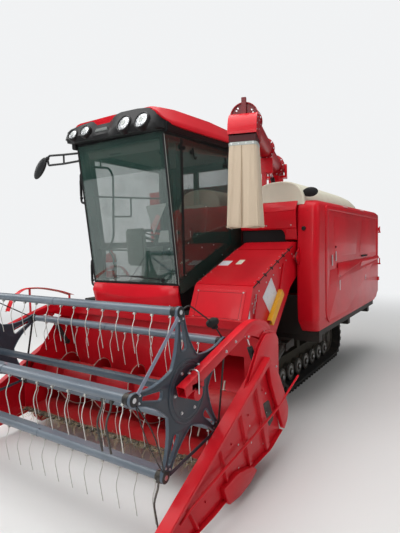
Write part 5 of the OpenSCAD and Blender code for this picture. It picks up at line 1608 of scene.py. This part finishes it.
def cab_inside():
    """What is seen through the glass: headliner, pillars, extinguisher, a triangular plate and trim."""
    s = Shape()
    # Post and shelf of the extinguisher
    s.use(0)
    s.tube([(-0.445, -0.905, 1.142), (-0.445, -0.905, 1.5)], 0.008, sides=10)
    s.block((-0.495, -1.015, 1.295), (-0.395, -0.897, 1.303))
    s.block((-0.465, -0.925, 1.455), (-0.425, -0.9, 1.475))
    s.use(1)
    s.block((-0.54, -1.18, 2.47), (0.42, 0.04, 2.497), 0.01)
    s.solid([(-0.5, -1.15, 2.405), (0.36, -1.15, 2.39), (-0.5, -1.0, 2.44), (0.36, -1.0, 2.44),
            (-0.5, -1.17, 2.47), (0.36, -1.17, 2.47), (-0.5, -0.9, 2.47), (0.36, -0.9, 2.47)], 0.012)
    s.use(2)
    for k in range(6):
        s.block((-0.22 + k * 0.022, -1.158, 2.412), (-0.208 + k * 0.022, -1.15, 2.452), 0.001)
    s.ball((0.1, -0.8, 2.46), 1.0, (0.05, 0.03, 0.03), 16)
    # Pillars and cross members of the rear and right walls
    s.block((-0.545, 0.02, 1.15), (-0.47, 0.058, 2.48), 0.01)
    s.block((-0.14, 0.03, 1.76), (-0.075, 0.057, 2.4), 0.006)
    s.block((0.345, 0.02, 1.75), (0.395, 0.058, 2.48), 0.01)
    s.use(3)
    s.block((-0.54, -1.06, 1.141), (0.38, -0.9, 1.146), 0.002)
    s.block((-0.52, -0.9, 1.141), (0.18, 0.05, 1.147), 0.002)
    # Extinguisher with a blank pale patch
    s.use(4)
    ex = (-0.445, -0.965)
    s.turned([(0, 0), (0.045, 0), (0.05, 0.006), (0.05, 0.2), (0.044, 0.225), (0.02, 0.24), (0.016, 0.262),
            (0, 0.262)], (*ex, 1.305), Z)
    s.use(5)
    s.turned([(0.0505, 0), (0.0508, 0.001), (0.0508, 0.079), (0.0505, 0.08)], (*ex, 1.372), Z)
    s.use(2)
    s.block((ex[0] - 0.012, ex[1] - 0.05, 1.562), (ex[0] + 0.012, ex[1] + 0.02, 1.582), 0.004)
    s.tube([(ex[0], ex[1] - 0.02, 1.557), (ex[0] + 0.05, ex[1] - 0.03, 1.517),
            (ex[0] + 0.055, ex[1] - 0.01, 1.407)], 0.007, 0.03, 8)
    # Grey triangular plate behind the glass
    s.use(6)
    s.plate(Y, rounded(((0.0, 1.965), (0.235, 1.975), (0.085, 1.705)), 0.012, 3), -0.952, -0.948, 0.0008)
    s.use(7)
    s.plate(Y, rounded(((0.06, 1.79), (0.085, 1.73), (0.165, 1.865), (0.125, 1.885)), 0.012, 3), -0.9535,
            -0.9525, 0.0003)
    s.piece("cab_interior", "machine", BLACK, HEADLINER, SOFT_BLACK, DARK_TRIM, LOW_RED, PLATE, PALE_TRIM,
            PINK_TRIM)


# Rails, hooks and seals of the side glass

def glass_trim():
    s = Shape()
    x = 0.4465
    s.strap([(x + 0.001, -1.0, z) for z in (1.36, 2.49)], 0.026, 0.006, up=X)
    for y, z in ((-1.02, 2.42), (-0.975, 2.42), (-0.86, 2.4), (-0.3, 2.36)):
        s.disc((x - 0.001, y, z), X, 0.018, 0.012, 0.003, 20)
        s.disc((x + 0.008, y, z), X, 0.009, 0.01, 0.002, 16)
    for y in (-0.84, -0.28):
        s.tube([(x + 0.006, y, 2.44), (x + 0.01, y + 0.01, 2.37), (x + 0.01, y + 0.03, 2.345),
                (x + 0.01, y + 0.048, 2.37)], 0.007, 0.015, 8)
    # Windshield's seal: dark frame all round and a light line at its left edge
    face = 0.0068
    for a, b in (((-0.552, 1.275), (-0.552, 2.5)), ((0.432, 1.275), (0.432, 2.5))):
        s.strap([(a[0], windshield_y(a[1]) - face, a[1]), (b[0], windshield_y(b[1]) - face, b[1])], 0.02,
                0.003, up=Y)
    s.strap([(-0.56, windshield_y(1.272) - face, 1.276), (0.44, windshield_y(1.272) - face, 1.276)], 0.018,
            0.003, up=Y)
    s.use(1)
    s.strap([(0.4425, windshield_y(1.27) - 0.004, 1.27), (0.4425, windshield_y(2.5) - 0.004, 2.5)], 0.004,
            0.004, up=X)
    s.use(2)
    for y, z in ((-0.93, 1.62), (-0.72, 1.58), (-0.52, 1.6), (-0.36, 1.5), (-0.98, 1.35), (-0.7, 1.33),
            (-0.16, 1.75), (-0.9, 2.1), (-0.64, 1.95)):
        s.disc((x - 0.001, y, z), X, 0.006, 0.005, 0.001, 12)
    # Wiper at rest
    s.use(0)
    s.disc((0.28, windshield_y(1.31) - 0.004, 1.31), (0, -1, -0.12), 0.018, 0.014, 0.003, 20)
    s.tube([(0.28, windshield_y(1.31) - 0.02, 1.315), (0.1, windshield_y(1.325) - 0.022, 1.325),
            (-0.1, windshield_y(1.33) - 0.014, 1.335)], 0.0045, 0.03, 8)
    s.strap([(-0.3, windshield_y(1.33) - 0.01, 1.333), (0.06, windshield_y(1.33) - 0.01, 1.337)], 0.01,
            0.006, up=Z)
    s.piece("glass_trim", "machine", SOFT_BLACK, PALE_TRIM, BRIGHT)


# Feeder house: cover sheets, inspection plate, blank plates, cables, and the yellow strut on its side

FEEDER_SIDES = (0.56, 1.09)
FEEDER_TOP = ((-0.105, 1.6085), (-0.998, 1.277))
FEEDER_FRONT = ((-1.002, 1.2715), (-1.126, 0.99))


def slope_place(low, high, x):
    """A frame on a slope between two (y, z) points: X across, Y up the slope, Z outwards."""
    low, high = Vector((x, *low)), Vector((x, *high))
    up = (high - low).normalized()
    out = Vector(X).cross(up)
    place = Matrix((Vector(X), up, out)).transposed().to_4x4()
    place.translation = low
    return place, (high - low).length


def feeder_details():
    s = Shape()
    middle = sum(FEEDER_SIDES) / 2
    half = (FEEDER_SIDES[1] - FEEDER_SIDES[0]) / 2
    place, length = slope_place(FEEDER_TOP[1], FEEDER_TOP[0], middle)
    top = Shape()
    # Cover sheet with turned-down edges, and a second one lapped over its upper end
    top.solid(box_points((-half - 0.004, half + 0.004), (0.012, length - 0.15), (0.0005, 0.0035)), 0.001)
    top.solid(box_points((-half + 0.02, half - 0.012), (length - 0.19, length - 0.004), (0.0035, 0.0075)),
            0.0015)
    for x in (-half - 0.004, half + 0.001):
        top.solid([(x + dx, y, z) for dx in (0, 0.003) for y in (0.012, length - 0.15)
                for z in (-0.022, 0.003)], 0.0008)
    top.strap([(x, length - 0.19, 0.0075) for x in (-half + 0.02, half - 0.012)], 0.006, 0.002, up=Z)
    # Blank plates
    top.use(2)
    top.plate(Z, rounded(((-0.262, 0.385), (-0.16, 0.385), (-0.16, 0.49), (-0.262, 0.49)), 0.004, 2),
            0.0035, 0.0048, 0.0004)
    top.use(3)
    top.plate(Z, rounded(((-0.1, 0.415), (-0.044, 0.415), (-0.044, 0.515), (-0.1, 0.515)), 0.004, 2),
            0.0035, 0.0048, 0.0004)
    # Clips and the cable along both upper edges
    for x, way in ((-half - 0.006, -1), (half + 0.006, 1)):
        top.use(4)
        for k in range(9):
            top.bolt((x - way * 0.022, 0.06 + k * (length - 0.25) / 8, 0.0035), Z, 0.005, False)
        top.use(5)
        top.tube([(x, -0.01, -0.004), (x + way * 0.003, 0.25, 0.004), (x + way * 0.004, 0.55, 0.004),
                (x, length - 0.12, -0.002), (x - way * 0.02, length - 0.01, -0.03)], 0.0042, 0.05, 8)
        top.use(6)
        for k in range(6):
            y = 0.08 + k * (length - 0.28) / 5
            top.strap([(x + way * 0.0095, y, -0.012), (x + way * 0.0095, y, 0.01),
                    (x - way * 0.012, y, 0.0095)], 0.012, 0.0015, 0.004, up=Y)
    s.merge(top, place)
    # Inspection plate on the steep lower part
    place, length = slope_place(FEEDER_FRONT[1], FEEDER_FRONT[0], middle)
    low = Shape()
    low.solid(box_points((-half - 0.003, half + 0.003), (0.002, length - 0.004), (0.0005, 0.0035)), 0.001)
    rim = [Vector(p) for p in ((-half + 0.03, 0.022), (half - 0.05, 0.022), (half - 0.05, length - 0.03),
            (-half + 0.03, length - 0.03))]
    low.plate(Z, rounded(rim, 0.008, 3), 0.0035, 0.0075, 0.0015)
    low.use(1)
    inner = [Vector((p.x * 0.9 - 0.003, (p.y - length / 2) * 0.82 + length / 2)) for p in rim]
    low.strap([(*p, 0.0077) for p in rounded(inner, 0.01, 3)], 0.0035, 0.0008, up=Z, closed=True)
    low.use(4)
    for x, y in ((-half + 0.045, 0.04), (half - 0.068, 0.04), (half - 0.068, length - 0.048),
            (-half + 0.045, length - 0.048)):
        low.bolt((x, y, 0.0075), Z, 0.006)
    s.merge(low, place)
    # Left side: two blank plates, reinforcing folds and the yellow channel
    x = FEEDER_SIDES[1] + 0.0005
    s.use(2)
    s.plate(X, rounded(((-0.662, 1.322), (-0.515, 1.14), (-0.662, 0.99), (-0.835, 1.175)), 0.006, 2), x,
            x + 0.002, 0.0005)
    s.plate(X, rounded(((-1.122, 0.985), (-1.062, 1.105), (-1.06, 0.96), (-1.115, 0.9)), 0.006, 2), x,
            x + 0.002, 0.0005)
    s.use(0)
    for a, b in (((-0.93, 1.2), (-1.06, 0.8)), ((-0.4, 1.42), (-0.56, 1.02))):
        s.strap([(x + 0.006, *a), (x + 0.006, *b)], 0.028, 0.012, up=X)
    s.use(4)
    s.bolts(at_x(x, ((-0.2, 1.5), (-0.34, 1.45), (-0.48, 1.39), (-0.62, 1.34), (-0.76, 1.29),
            (-0.9, 1.235), (-1.02, 1.15), (-1.075, 1.0))), X, 0.006)
    s.use(7)
    foot, head = Vector((1.112, -0.735, 0.955)), Vector((1.112, -0.5, 1.185))
    along = (head - foot).normalized()
    section = [(-0.018, -0.034), (0.018, -0.034), (0.018, -0.029), (-0.013, -0.029), (-0.013, 0.029),
            (0.018, 0.029), (0.018, 0.034), (-0.018, 0.034)]
    s.rings([[foot + along * t + Vector((-a, 0, 0)) + Vector((0, -along.z, along.y)) * b
            for a, b in section] for t in (0, (head - foot).length)])
    s.use(0)
    for spot in (foot + along * 0.03, head - along * 0.03):
        s.tube([(x - 0.001, spot.y, spot.z), (1.106, spot.y, spot.z)], 0.012, sides=16)
        s.bolt((1.111, spot.y, spot.z), X)
    # Links that hang from the upper corner of the side
    s.use(4)
    for k in range(5):
        spot = Vector((x + 0.008, -0.965 - 0.012 * k, 1.2 - 0.028 * k))
        turn = Vector(X) if k % 2 else Vector(Y)
        s.tube([spot + turn * a + Vector((0, 0, b))
                for a, b in ((0.006, 0.01), (0.006, -0.01), (0, -0.016), (-0.006, -0.01), (-0.006, 0.01),
                (0, 0.016))], 0.0022, closed=True, sides=6)
    s.piece("feeder_details", "header", RED, SHADE_RED, PLATE, CREAM, BRIGHT, SOFT_BLACK, DARK_STEEL,
            YELLOW)


# Side sheets of the header

def header_sides():
    s = Shape()
    outline = ((-1.699, 0.168), (-1.699, 0.42), (-1.5, 0.69), (-1.33, 0.9), (-1.22, 0.975), (-1.06, 0.955),
            (-1.002, 0.9), (-1.002, 0.6), (-1.08, 0.3), (-1.25, 0.158))
    for low, high, out in ((1.2842, 1.2942, 1), (-0.83, -0.82, -1)):
        s.use(0)
        s.plate(X, rounded(outline, 0.03, 4), low, high, 0.0015)
        face = high if out > 0 else low
        s.strap([(face - out * 0.016, *p) for p in rounded(((-1.69, 0.4), (-1.5, 0.7), (-1.33, 0.905),
                (-1.22, 0.98), (-1.06, 0.96), (-0.998, 0.9), (-0.998, 0.62)), 0.04, 4, False)], 0.034,
                0.004, up=X)
        s.use(1)
        s.bolts(at_x(face, ((-1.66, 0.21), (-1.66, 0.36), (-1.3, 0.22), (-1.12, 0.36), (-1.05, 0.55),
                (-1.05, 0.7), (-1.37, 0.56), (-1.24, 0.42), (-1.5, 0.42), (-1.48, 0.3), (-1.25, 0.56))),
                (out, 0, 0))
        s.use(0)
        s.disc((face, -1.37, 0.42), (out, 0, 0), 0.075, 0.005)
    s.piece("header_side_sheets", "header", RED, BRIGHT, stands_for=("header_sides",))


# Feed auger: tube, worn flights and the fingers before the feeder's mouth

AUGER = Vector((0, -1.37, 0.42))
AUGER_TUBE = 0.14
FLIGHT_RADIUS = 0.218
FLIGHT_STARTS = ((-0.8, 0.56, 1), (1.09, 1.264, -1))
FLIGHT_TURN = -58.5
FLIGHT_PITCH = 0.42


def feed_auger():
    s = Shape()
    low, high = -0.811, 1.275
    # Tube and flights in the shaded red: painted shade inside the header
    s.use(0)
    s.turned([(0, 0), (AUGER_TUBE - 0.002, 0), (AUGER_TUBE, 0.002), (AUGER_TUBE, high - low - 0.002),
            (AUGER_TUBE - 0.002, high - low), (0, high - low)], (low, AUGER.y, AUGER.z), X, 64)
    s.tube([(low - 0.018, AUGER.y, AUGER.z), (high + 0.018, AUGER.y, AUGER.z)], 0.0195, sides=24)
    for start, end, hand in FLIGHT_STARTS:
        turns = (end - start) / FLIGHT_PITCH
        steps = ceil(turns * 40)
        rows = {"web": [], "edge": []}
        for i in range(steps + 1):
            a = radians(360 * turns * i / steps * hand + FLIGHT_TURN)
            x = start + (end - start - 0.006) * i / steps
            way = Vector((0, cos(a), sin(a)))
            wear = 0.0012 * sin(7.3 * a) * sin(2.1 * a)
            inner, middle, outer = (AUGER + way * r
                    for r in (AUGER_TUBE - 0.002, FLIGHT_RADIUS - 0.009, FLIGHT_RADIUS - 0.0015 + wear))
            rows["web"].append([(x, inner.y, inner.z), (x + 0.006, inner.y, inner.z),
                    (x + 0.0045, middle.y, middle.z), (x + 0.0015, middle.y, middle.z)])
            rows["edge"].append([(x + 0.0012, middle.y, middle.z), (x + 0.0048, middle.y, middle.z),
                    (x + 0.0042, outer.y, outer.z), (x + 0.0018, outer.y, outer.z)])
        s.use(0)
        s.rings(rows["web"])
        s.use(1)
        s.rings(rows["edge"])
    s.use(1)
    for k in range(12):
        a = radians(k * 137.5)
        x = 0.62 + 0.035 * k
        way = Vector((0, cos(a), sin(a)))
        root = Vector((x, AUGER.y, AUGER.z))
        s.tube([root + way * (AUGER_TUBE - 0.004), root + way * 0.208], 0.0075, sides=10)
        s.disc(root + way * AUGER_TUBE, way, 0.017, 0.006, 0.002, 16)
    s.piece("auger_with_fingers", "feed_auger", SHADED_RED, WORN_EDGE, stands_for=("feed_auger",))


# Soil and straw caught on the cutter bar

def caught_straw():
    s = Shape()
    chance = random.Random(7)
    for _ in range(430):
        x = chance.uniform(-0.8, 1.26)
        y = chance.uniform(-1.735, -1.665)
        z = chance.uniform(0.186, 0.204)
        length = chance.uniform(0.03, 0.12)
        turn = chance.uniform(-1.2, 1.2)
        droop = chance.uniform(-0.9, 0.35)
        s.use(0 if chance.random() < 0.6 else 1)
        way = Vector((sin(turn), -cos(turn) * 0.7, droop)).normalized()
        side = Vector((cos(turn), sin(turn), 0))
        bend = Vector((0, 0, -0.012 * chance.random()))
        start = Vector((x, y, z))
        end = start + way * length
        if end.z < 0.1:
            end.z = 0.1
        middle = (start + end) / 2 - bend
        s.strap([start, middle, end], chance.uniform(0.0015, 0.0035), 0.0008, up=side.cross(way))
    s.use(2)
    for _ in range(95):
        x = chance.uniform(-0.79, 1.25)
        size = chance.uniform(0.006, 0.02)
        s.ball((x, chance.uniform(-1.705, -1.69), 0.19 + size * 0.3), size, (1.6, 1.0, 0.55), 8)
    s.piece("caught_straw", "header", STRAW, WIRE_DIRT, SOIL)


# Bright rims of the track rollers

ROLLER_Z = 0.1483
ROLLERS = [(0.33 + k * 0.245, 0.09) for k in range(7)]
ROLLER_FACE = 0.645 + 0.055 + 0.07
RIM = ((-0.018, 0.022), (0.0025, 0.022), (0.0025, 0.006), (0.0015, 0.002), (-0.003, 0.001), (-0.018, 0.001))


def roller_rims():
    s = Shape()
    for side in (LEFT, RIGHT):
        for y, r in ROLLERS:
            face = side * ROLLER_FACE
            profile = [(r + out, -side * depth) for out, depth in RIM]
            s.use(0)
            s.turned(profile, (face, y, ROLLER_Z), X, 36)
            s.use(1)
            s.disc((face + side * 0.008, y, ROLLER_Z), (side, 0, 0), 0.024, 0.012, 0.004, 24)
            for k in range(6):
                a = pi * k / 3
                s.bolt((face - side * 0.006, y + 0.044 * cos(a), ROLLER_Z + 0.044 * sin(a)), (side, 0, 0),
                        0.006)
    s.piece("roller_rims", "machine", RIM_SILVER, BRIGHT)


# Guard above the right reel arm

def arm_guard():
    s = Shape()
    curve = [(-1.82, 1.07), (-1.77, 1.18), (-1.66, 1.25), (-1.48, 1.245), (-1.257, 1.188), (-1.12, 1.135)]
    s.use(0)
    s.strap(at_x(-0.838, curve), 0.056, 0.003, 0.12, up=Z)
    s.use(1)
    s.strap([(-0.8675, y, z - 0.006) for y, z in curve], 0.003, 0.016, 0.12, up=Z)
    s.use(0)
    for y, z, up in ((-1.6, 1.02, 0.22), (-1.16, 1.0, 0.135)):
        s.strap([(-0.835, y, z + up), (-0.835, y, z - 0.01), (-0.811, y, z - 0.02)], 0.03, 0.004, 0.01,
                up=Y)
    s.piece("arm_guard", "reel_arms", RED, CREAM)


# Right side, rear and top of the body, which the photo doesn't show: plain pressed panels, a screen and lamps

TANK = ((-0.86, 0.14), (0.48, 1.48), 1.4, 2.24)
REAR_BOX = ((1.04, 1.9), (0.7, 1.345))
SCREEN = ((0.16, 1.04), (0.7, 1.33))
REAR_FACE = ((2.5, 1.96), (2.65, 1.25))


def tank_details():
    s = Shape()
    (x0, y0), (_, y1), low, high = TANK
    # Pressed swages, upright on the right side and level on the rear
    for y in (0.36, 0.66, 0.96, 1.26):
        s.solid([(x, y + dy, z + dz) for x, grow in ((x0 - 0.001, 0.0), (x0 - 0.01, 0.012))
                for dy, dz, z in ((-0.038 + grow, grow, low + 0.1), (0.038 - grow, grow, low + 0.1),
                (-0.038 + grow, -grow, high - 0.1), (0.038 - grow, -grow, high - 0.1))])
    for z in (1.62, 1.84, 2.06):
        s.solid([(x + dx, y, z + dz) for y, grow in ((y1 + 0.001, 0.0), (y1 + 0.01, 0.012))
                for x, dx in ((x0 + 0.1, grow), (-0.05, -grow)) for dz in (-0.034 + grow, 0.034 - grow)])
    # Folded rim round the top and the bolted flange below
    s.strap([(x0 - 0.002, y0, high - 0.018), (x0 - 0.002, y1, high - 0.018)], 0.036, 0.006, up=X)
    s.strap([(x0, y1 + 0.002, high - 0.018), (-0.02, y1 + 0.002, high - 0.018)], 0.036, 0.006, up=Y)
    s.strap([(x0 - 0.002, y0 + 0.26, low + 0.02), (x0 - 0.002, y1, low + 0.02)], 0.04, 0.006, up=X)
    # Lid in two leaves with its hinges and handle
    for a, b in ((0.26, 0.74), (0.752, 1.24)):
        s.block((-0.74, a, high - 0.001), (-0.1, b, high + 0.016), 0.005)
        s.block((-0.68, a + 0.06, high + 0.014), (-0.16, b - 0.06, high + 0.021), 0.004)
    s.use(1)
    s.bolts([(x0 - 0.005, y0 + 0.3 + 0.13 * k, low + 0.02) for k in range(9)], (-1, 0, 0), 0.007)
    s.bolts([(x0 + 0.06 + 0.13 * k, y1 + 0.005, high - 0.018) for k in range(6)], Y, 0.007)
    s.use(2)
    for y in (0.34, 0.66, 0.84, 1.16):
        s.block((-0.775, y - 0.025, high), (-0.715, y + 0.025, high + 0.02))
        s.tube([(-0.745, y - 0.034, high + 0.018), (-0.745, y + 0.034, high + 0.018)], 0.009)
    for y in (0.5, 1.0):
        s.tube([(-0.135, y - 0.06, high + 0.01), (-0.135, y - 0.06, high + 0.034),
                (-0.135, y + 0.06, high + 0.034), (-0.135, y + 0.06, high + 0.01)], 0.006, 0.012, 10)
    # Sight glass in the rear wall
    s.block((-0.52, y1 - 0.001, 1.7), (-0.34, y1 + 0.014, 1.79), 0.006)
    s.use(3)
    s.block((-0.505, y1 + 0.01, 1.712), (-0.355, y1 + 0.016, 1.778), 0.004)
    s.piece("tank_details", "machine", RED, BRIGHT, SOFT_BLACK, DARK_TRIM)


def rear_details():
    s = Shape()
    x = TANK[0][0]
    (y0, y1), (z0, z1) = REAR_BOX
    # Door of the rear box with a pressed field, louvres and a latch
    s.block((x - 0.007, y0 + 0.05, z0 + 0.05), (x, y1 - 0.05, z1 - 0.05))
    s.solid([(x - 0.006 - d, y, z) for d, g in ((0, 0), (0.007, 0.015))
            for y in (y0 + 0.11 + g, y1 - 0.11 - g) for z in (z0 + 0.11 + g, z1 - 0.11 - g)])
    for k in range(7):
        z = z0 + 0.19 + 0.042 * k
        s.solid([(x - out, y, z + up) for out, short, up in ((0.012, 0, 0), (0.026, 0.005, 0.004),
                (0.012, 0, 0.028)) for y in (y0 + 0.2 + short, y1 - 0.3 - short)], 0.002)
    # Rear hood: level swages
    (ya, za), (yb, zb) = REAR_FACE
    lean = (yb - ya) / (za - zb)
    for z in (1.36, 1.5, 1.86):
        y = ya + (za - z) * lean
        s.solid([(px, y + dz * -lean + d, z + dz) for d, g in ((-0.001, 0), (-0.001 + 0.009, 0.012))
                for px in (0.66 + g, 1.14 - g) for dz in (-0.03 + g, 0.03 - g)])
    # Lid of the rear box's roof and the flanges of the upright auger
    s.block((x + 0.05, y1 - 0.36, z1 - 0.001), (-0.36, y1 - 0.05, z1 + 0.012), 0.004)
    for z in (1.05, 2.19):
        flange(s, Vector((0.15, 1.61, z)), Z, 0.112, 0.15, 10)
    s.use(1)
    s.bolts([(x - 0.007, y, z) for y in (y0 + 0.075, y1 - 0.075)
            for z in (z0 + 0.09, (z0 + z1) / 2, z1 - 0.09)], (-1, 0, 0), 0.006)
    s.use(2)
    s.block((x - 0.022, y1 - 0.235, 0.99), (x - 0.006, y1 - 0.135, 1.05), 0.005)
    s.tube([(x - 0.022, y1 - 0.155, 1.02), (x - 0.04, y1 - 0.155, 1.02), (x - 0.04, y1 - 0.225, 1.02)],
            0.007, 0.01, 10)
    for z in (0.86, 1.19):
        s.tube([(x - 0.01, y0 + 0.05, z - 0.04), (x - 0.01, y0 + 0.05, z + 0.04)], 0.01)
    # Tail lamps: dark housings
    for px in (0.6, 1.2):
        y = ya + (za - 1.68) * lean
        s.solid([(px + dx, y + d - dz * lean, 1.68 + dz) for d in (-0.002, 0.022) for dx in (-0.042, 0.042)
                for dz in (-0.085, 0.085)], 0.006)
    for px in (0.6, 1.2):
        for dz, tall in ((-0.04, 0.036), (0.042, 0.032)):
            y = ya + (za - 1.68 - dz) * lean
            s.use(3 if dz < 0 else 4)
            s.solid([(px + dx * w, y + d - t * lean, 1.68 + dz + t)
                    for d, w in ((0.018, 1.0), (0.03, 0.86)) for dx in (-0.034, 0.034)
                    for t in (-tall * w, tall * w)], 0.004)
    s.piece("rear_details", "machine", RED, BRIGHT, SOFT_BLACK, TAIL_RED, TAIL_AMBER)


def screen_details():
    """Fine radiator screen in a frame: slats on the right side before the engine."""
    s = Shape()
    (y0, y1), (z0, z1) = SCREEN
    x = TANK[0][0]
    for y in (y0, y1 - 0.035, (y0 + y1) / 2 - 0.018):
        s.block((x - 0.018, y, z0), (x, y + 0.035, z1), 0.004)
    for z in (z0, z1 - 0.035):
        s.block((x - 0.018, y0, z), (x, y1, z + 0.035), 0.004)
    s.use(1)
    count = 26
    for k in range(count):
        z = z0 + 0.045 + (z1 - z0 - 0.1) * k / (count - 1)
        s.solid([(x - d, y, z + t) for d, t in ((0.001, -0.004), (0.013, -0.01), (0.001, 0.003),
                (0.013, -0.003)) for y in (y0 + 0.02, y1 - 0.02)], 0.001)
    s.use(2)
    s.bolts([(x - 0.018, y, z) for y in (y0 + 0.018, (y0 + y1) / 2, y1 - 0.018)
            for z in (z0 + 0.018, z1 - 0.018)], (-1, 0, 0), 0.006)
    s.block((x - 0.03, (y0 + y1) / 2 - 0.02, 0.98), (x - 0.016, (y0 + y1) / 2 + 0.02, 1.05), 0.005)
    s.piece("screen_slats", "machine", BLACK, DARK_STEEL, BRIGHT)


def body_side():
    """Left wall behind the side cover: bolted plates and the flat ends of the shafts."""
    s = Shape()
    x = 1.2625
    plates = (((0.3, 1.1), (0.95, 1.62)), ((1.1, 1.15), (1.62, 1.7)), ((1.76, 1.05), (2.3, 1.55)))
    for (ya, za), (yb, zb) in plates:
        s.plate(X, rounded(((ya, za), (yb, za), (yb, zb), (ya, zb)), 0.03, 4), x - 0.001, x + 0.0015,
                0.0006)
    s.use(1)
    for (ya, za), (yb, zb) in plates:
        for y in (ya + 0.03, (ya + yb) / 2, yb - 0.03):
            for z in (za + 0.03, zb - 0.03):
                s.disc((x + 0.001, y, z), X, 0.009, 0.0022, 0.0006, 12)
    s.use(2)
    for y, z, r in ((0.62, 0.92, 0.085), (1.36, 0.9, 0.06), (1.02, 1.8, 0.07), (2.05, 1.75, 0.06),
            (1.98, 0.9, 0.075)):
        s.disc((x - 0.001, y, z), X, r, 0.0025, 0.0008, 36)
    s.piece("body_side_plates", "machine", RED, BRIGHT, DARK_STEEL)


def door_fittings():
    s = Shape()
    x = -0.594
    s.block((x - 0.014, -0.985, 1.5), (x + 0.002, -0.945, 1.62), 0.005)
    s.tube([(x - 0.012, -0.965, 1.605), (x - 0.034, -0.965, 1.6), (x - 0.034, -0.965, 1.5)], 0.008, 0.012,
            10)
    s.use(1)
    s.bolts([(x - 0.014, -0.965, z) for z in (1.508, 1.612)], (-1, 0, 0), 0.004)
    s.piece("door_latch", "cab_door", SOFT_BLACK, BRIGHT)

    # Rails on the door's inner side, with stubs to its frame
    s = Shape()
    face = -0.521
    x = -0.5
    s.tube([(-0.511, -0.995, 2.46), (-0.511, -1.0, 2.36)], 0.009, sides=10)
    s.tube([(face, -1.09, 2.352), (x, -1.09, 2.352), (x, -0.9, 2.368), (x, -0.847, 2.3),
            (x, -0.865, 1.693), (x, -0.935, 1.577)], 0.011, 0.05, 10)
    s.tube([(face, -1.094, 2.075), (x, -1.094, 2.075), (x, -0.03, 2.132), (face, -0.03, 2.132)], 0.009,
            0.012, 10)
    s.tube([(x, -0.856, 1.897), (x, -0.6, 1.907), (x, -0.6, 2.1)], 0.009, 0.02, 10)
    s.tube([(face, -1.04, 1.577), (x, -1.04, 1.577), (x, -0.03, 1.526), (face, -0.03, 1.526)], 0.01, 0.012,
            10)
    s.piece("door_rails", "cab_door", BLACK)


reel()
for number in range(BATS):
    bat(number)
for make in (arms, dividers, side_cover, front_panel, drum_cover, boom, spout, visor, lamp_set, roof,
        band_under_windshield, mirror, handles, seat, console, cab_inside, glass_trim, feeder_details,
        header_sides, feed_auger, caught_straw, roller_rims, arm_guard, tank_details, rear_details,
        screen_details, body_side, door_fittings, stage, camera):
    make()


# Finish and rounding of the CAD nodes that stay
for finish, soft, nodes in (
        # The chassis's dark grey is painted shade under the body
        (UNDER_SHADE, 0.003, ["chassis"]), (DARK_STEEL, 0.01, ["engine"]),
        (RUBBER, 0, ["track_left", "track_right"]),
        (FRAME_BROWN, 0.004, ["track_frame_left", "track_frame_right"]),
        (DARK_STEEL, 0.003, ["rollers_left", "rollers_right"]),
        (DARK_STEEL, 0.001, ["cutter_bar"]), (LOW_RED, 0.002, ["header_trough"]),
        (BLACK, 0.004, ["cab_floor", "cab_shell", "side_screen"]),
        (BLACK, 0.003, ["steps", "cab_door", "lift_barrels"]),
        (BLACK, 0.002, ["tilt_barrel", "reel_barrels"]),
        (CHROME, 0.001, ["tilt_rod", "lift_rods", "reel_rods"]),
        # The thresher's finish paints shade on its front and underside
        (GLASS, 0, ["cab_glass", "door_glass"]), (BODY_RED, 0.004, ["thresher"]),
        (RED, 0.01, ["grain_tank"]), (RED, 0.004, ["rear_hood"]),
        (RED, 0.003, ["auger_rest", "turret", "feeder_house"])):
    for node in nodes:
        dress(node, finish, soft)
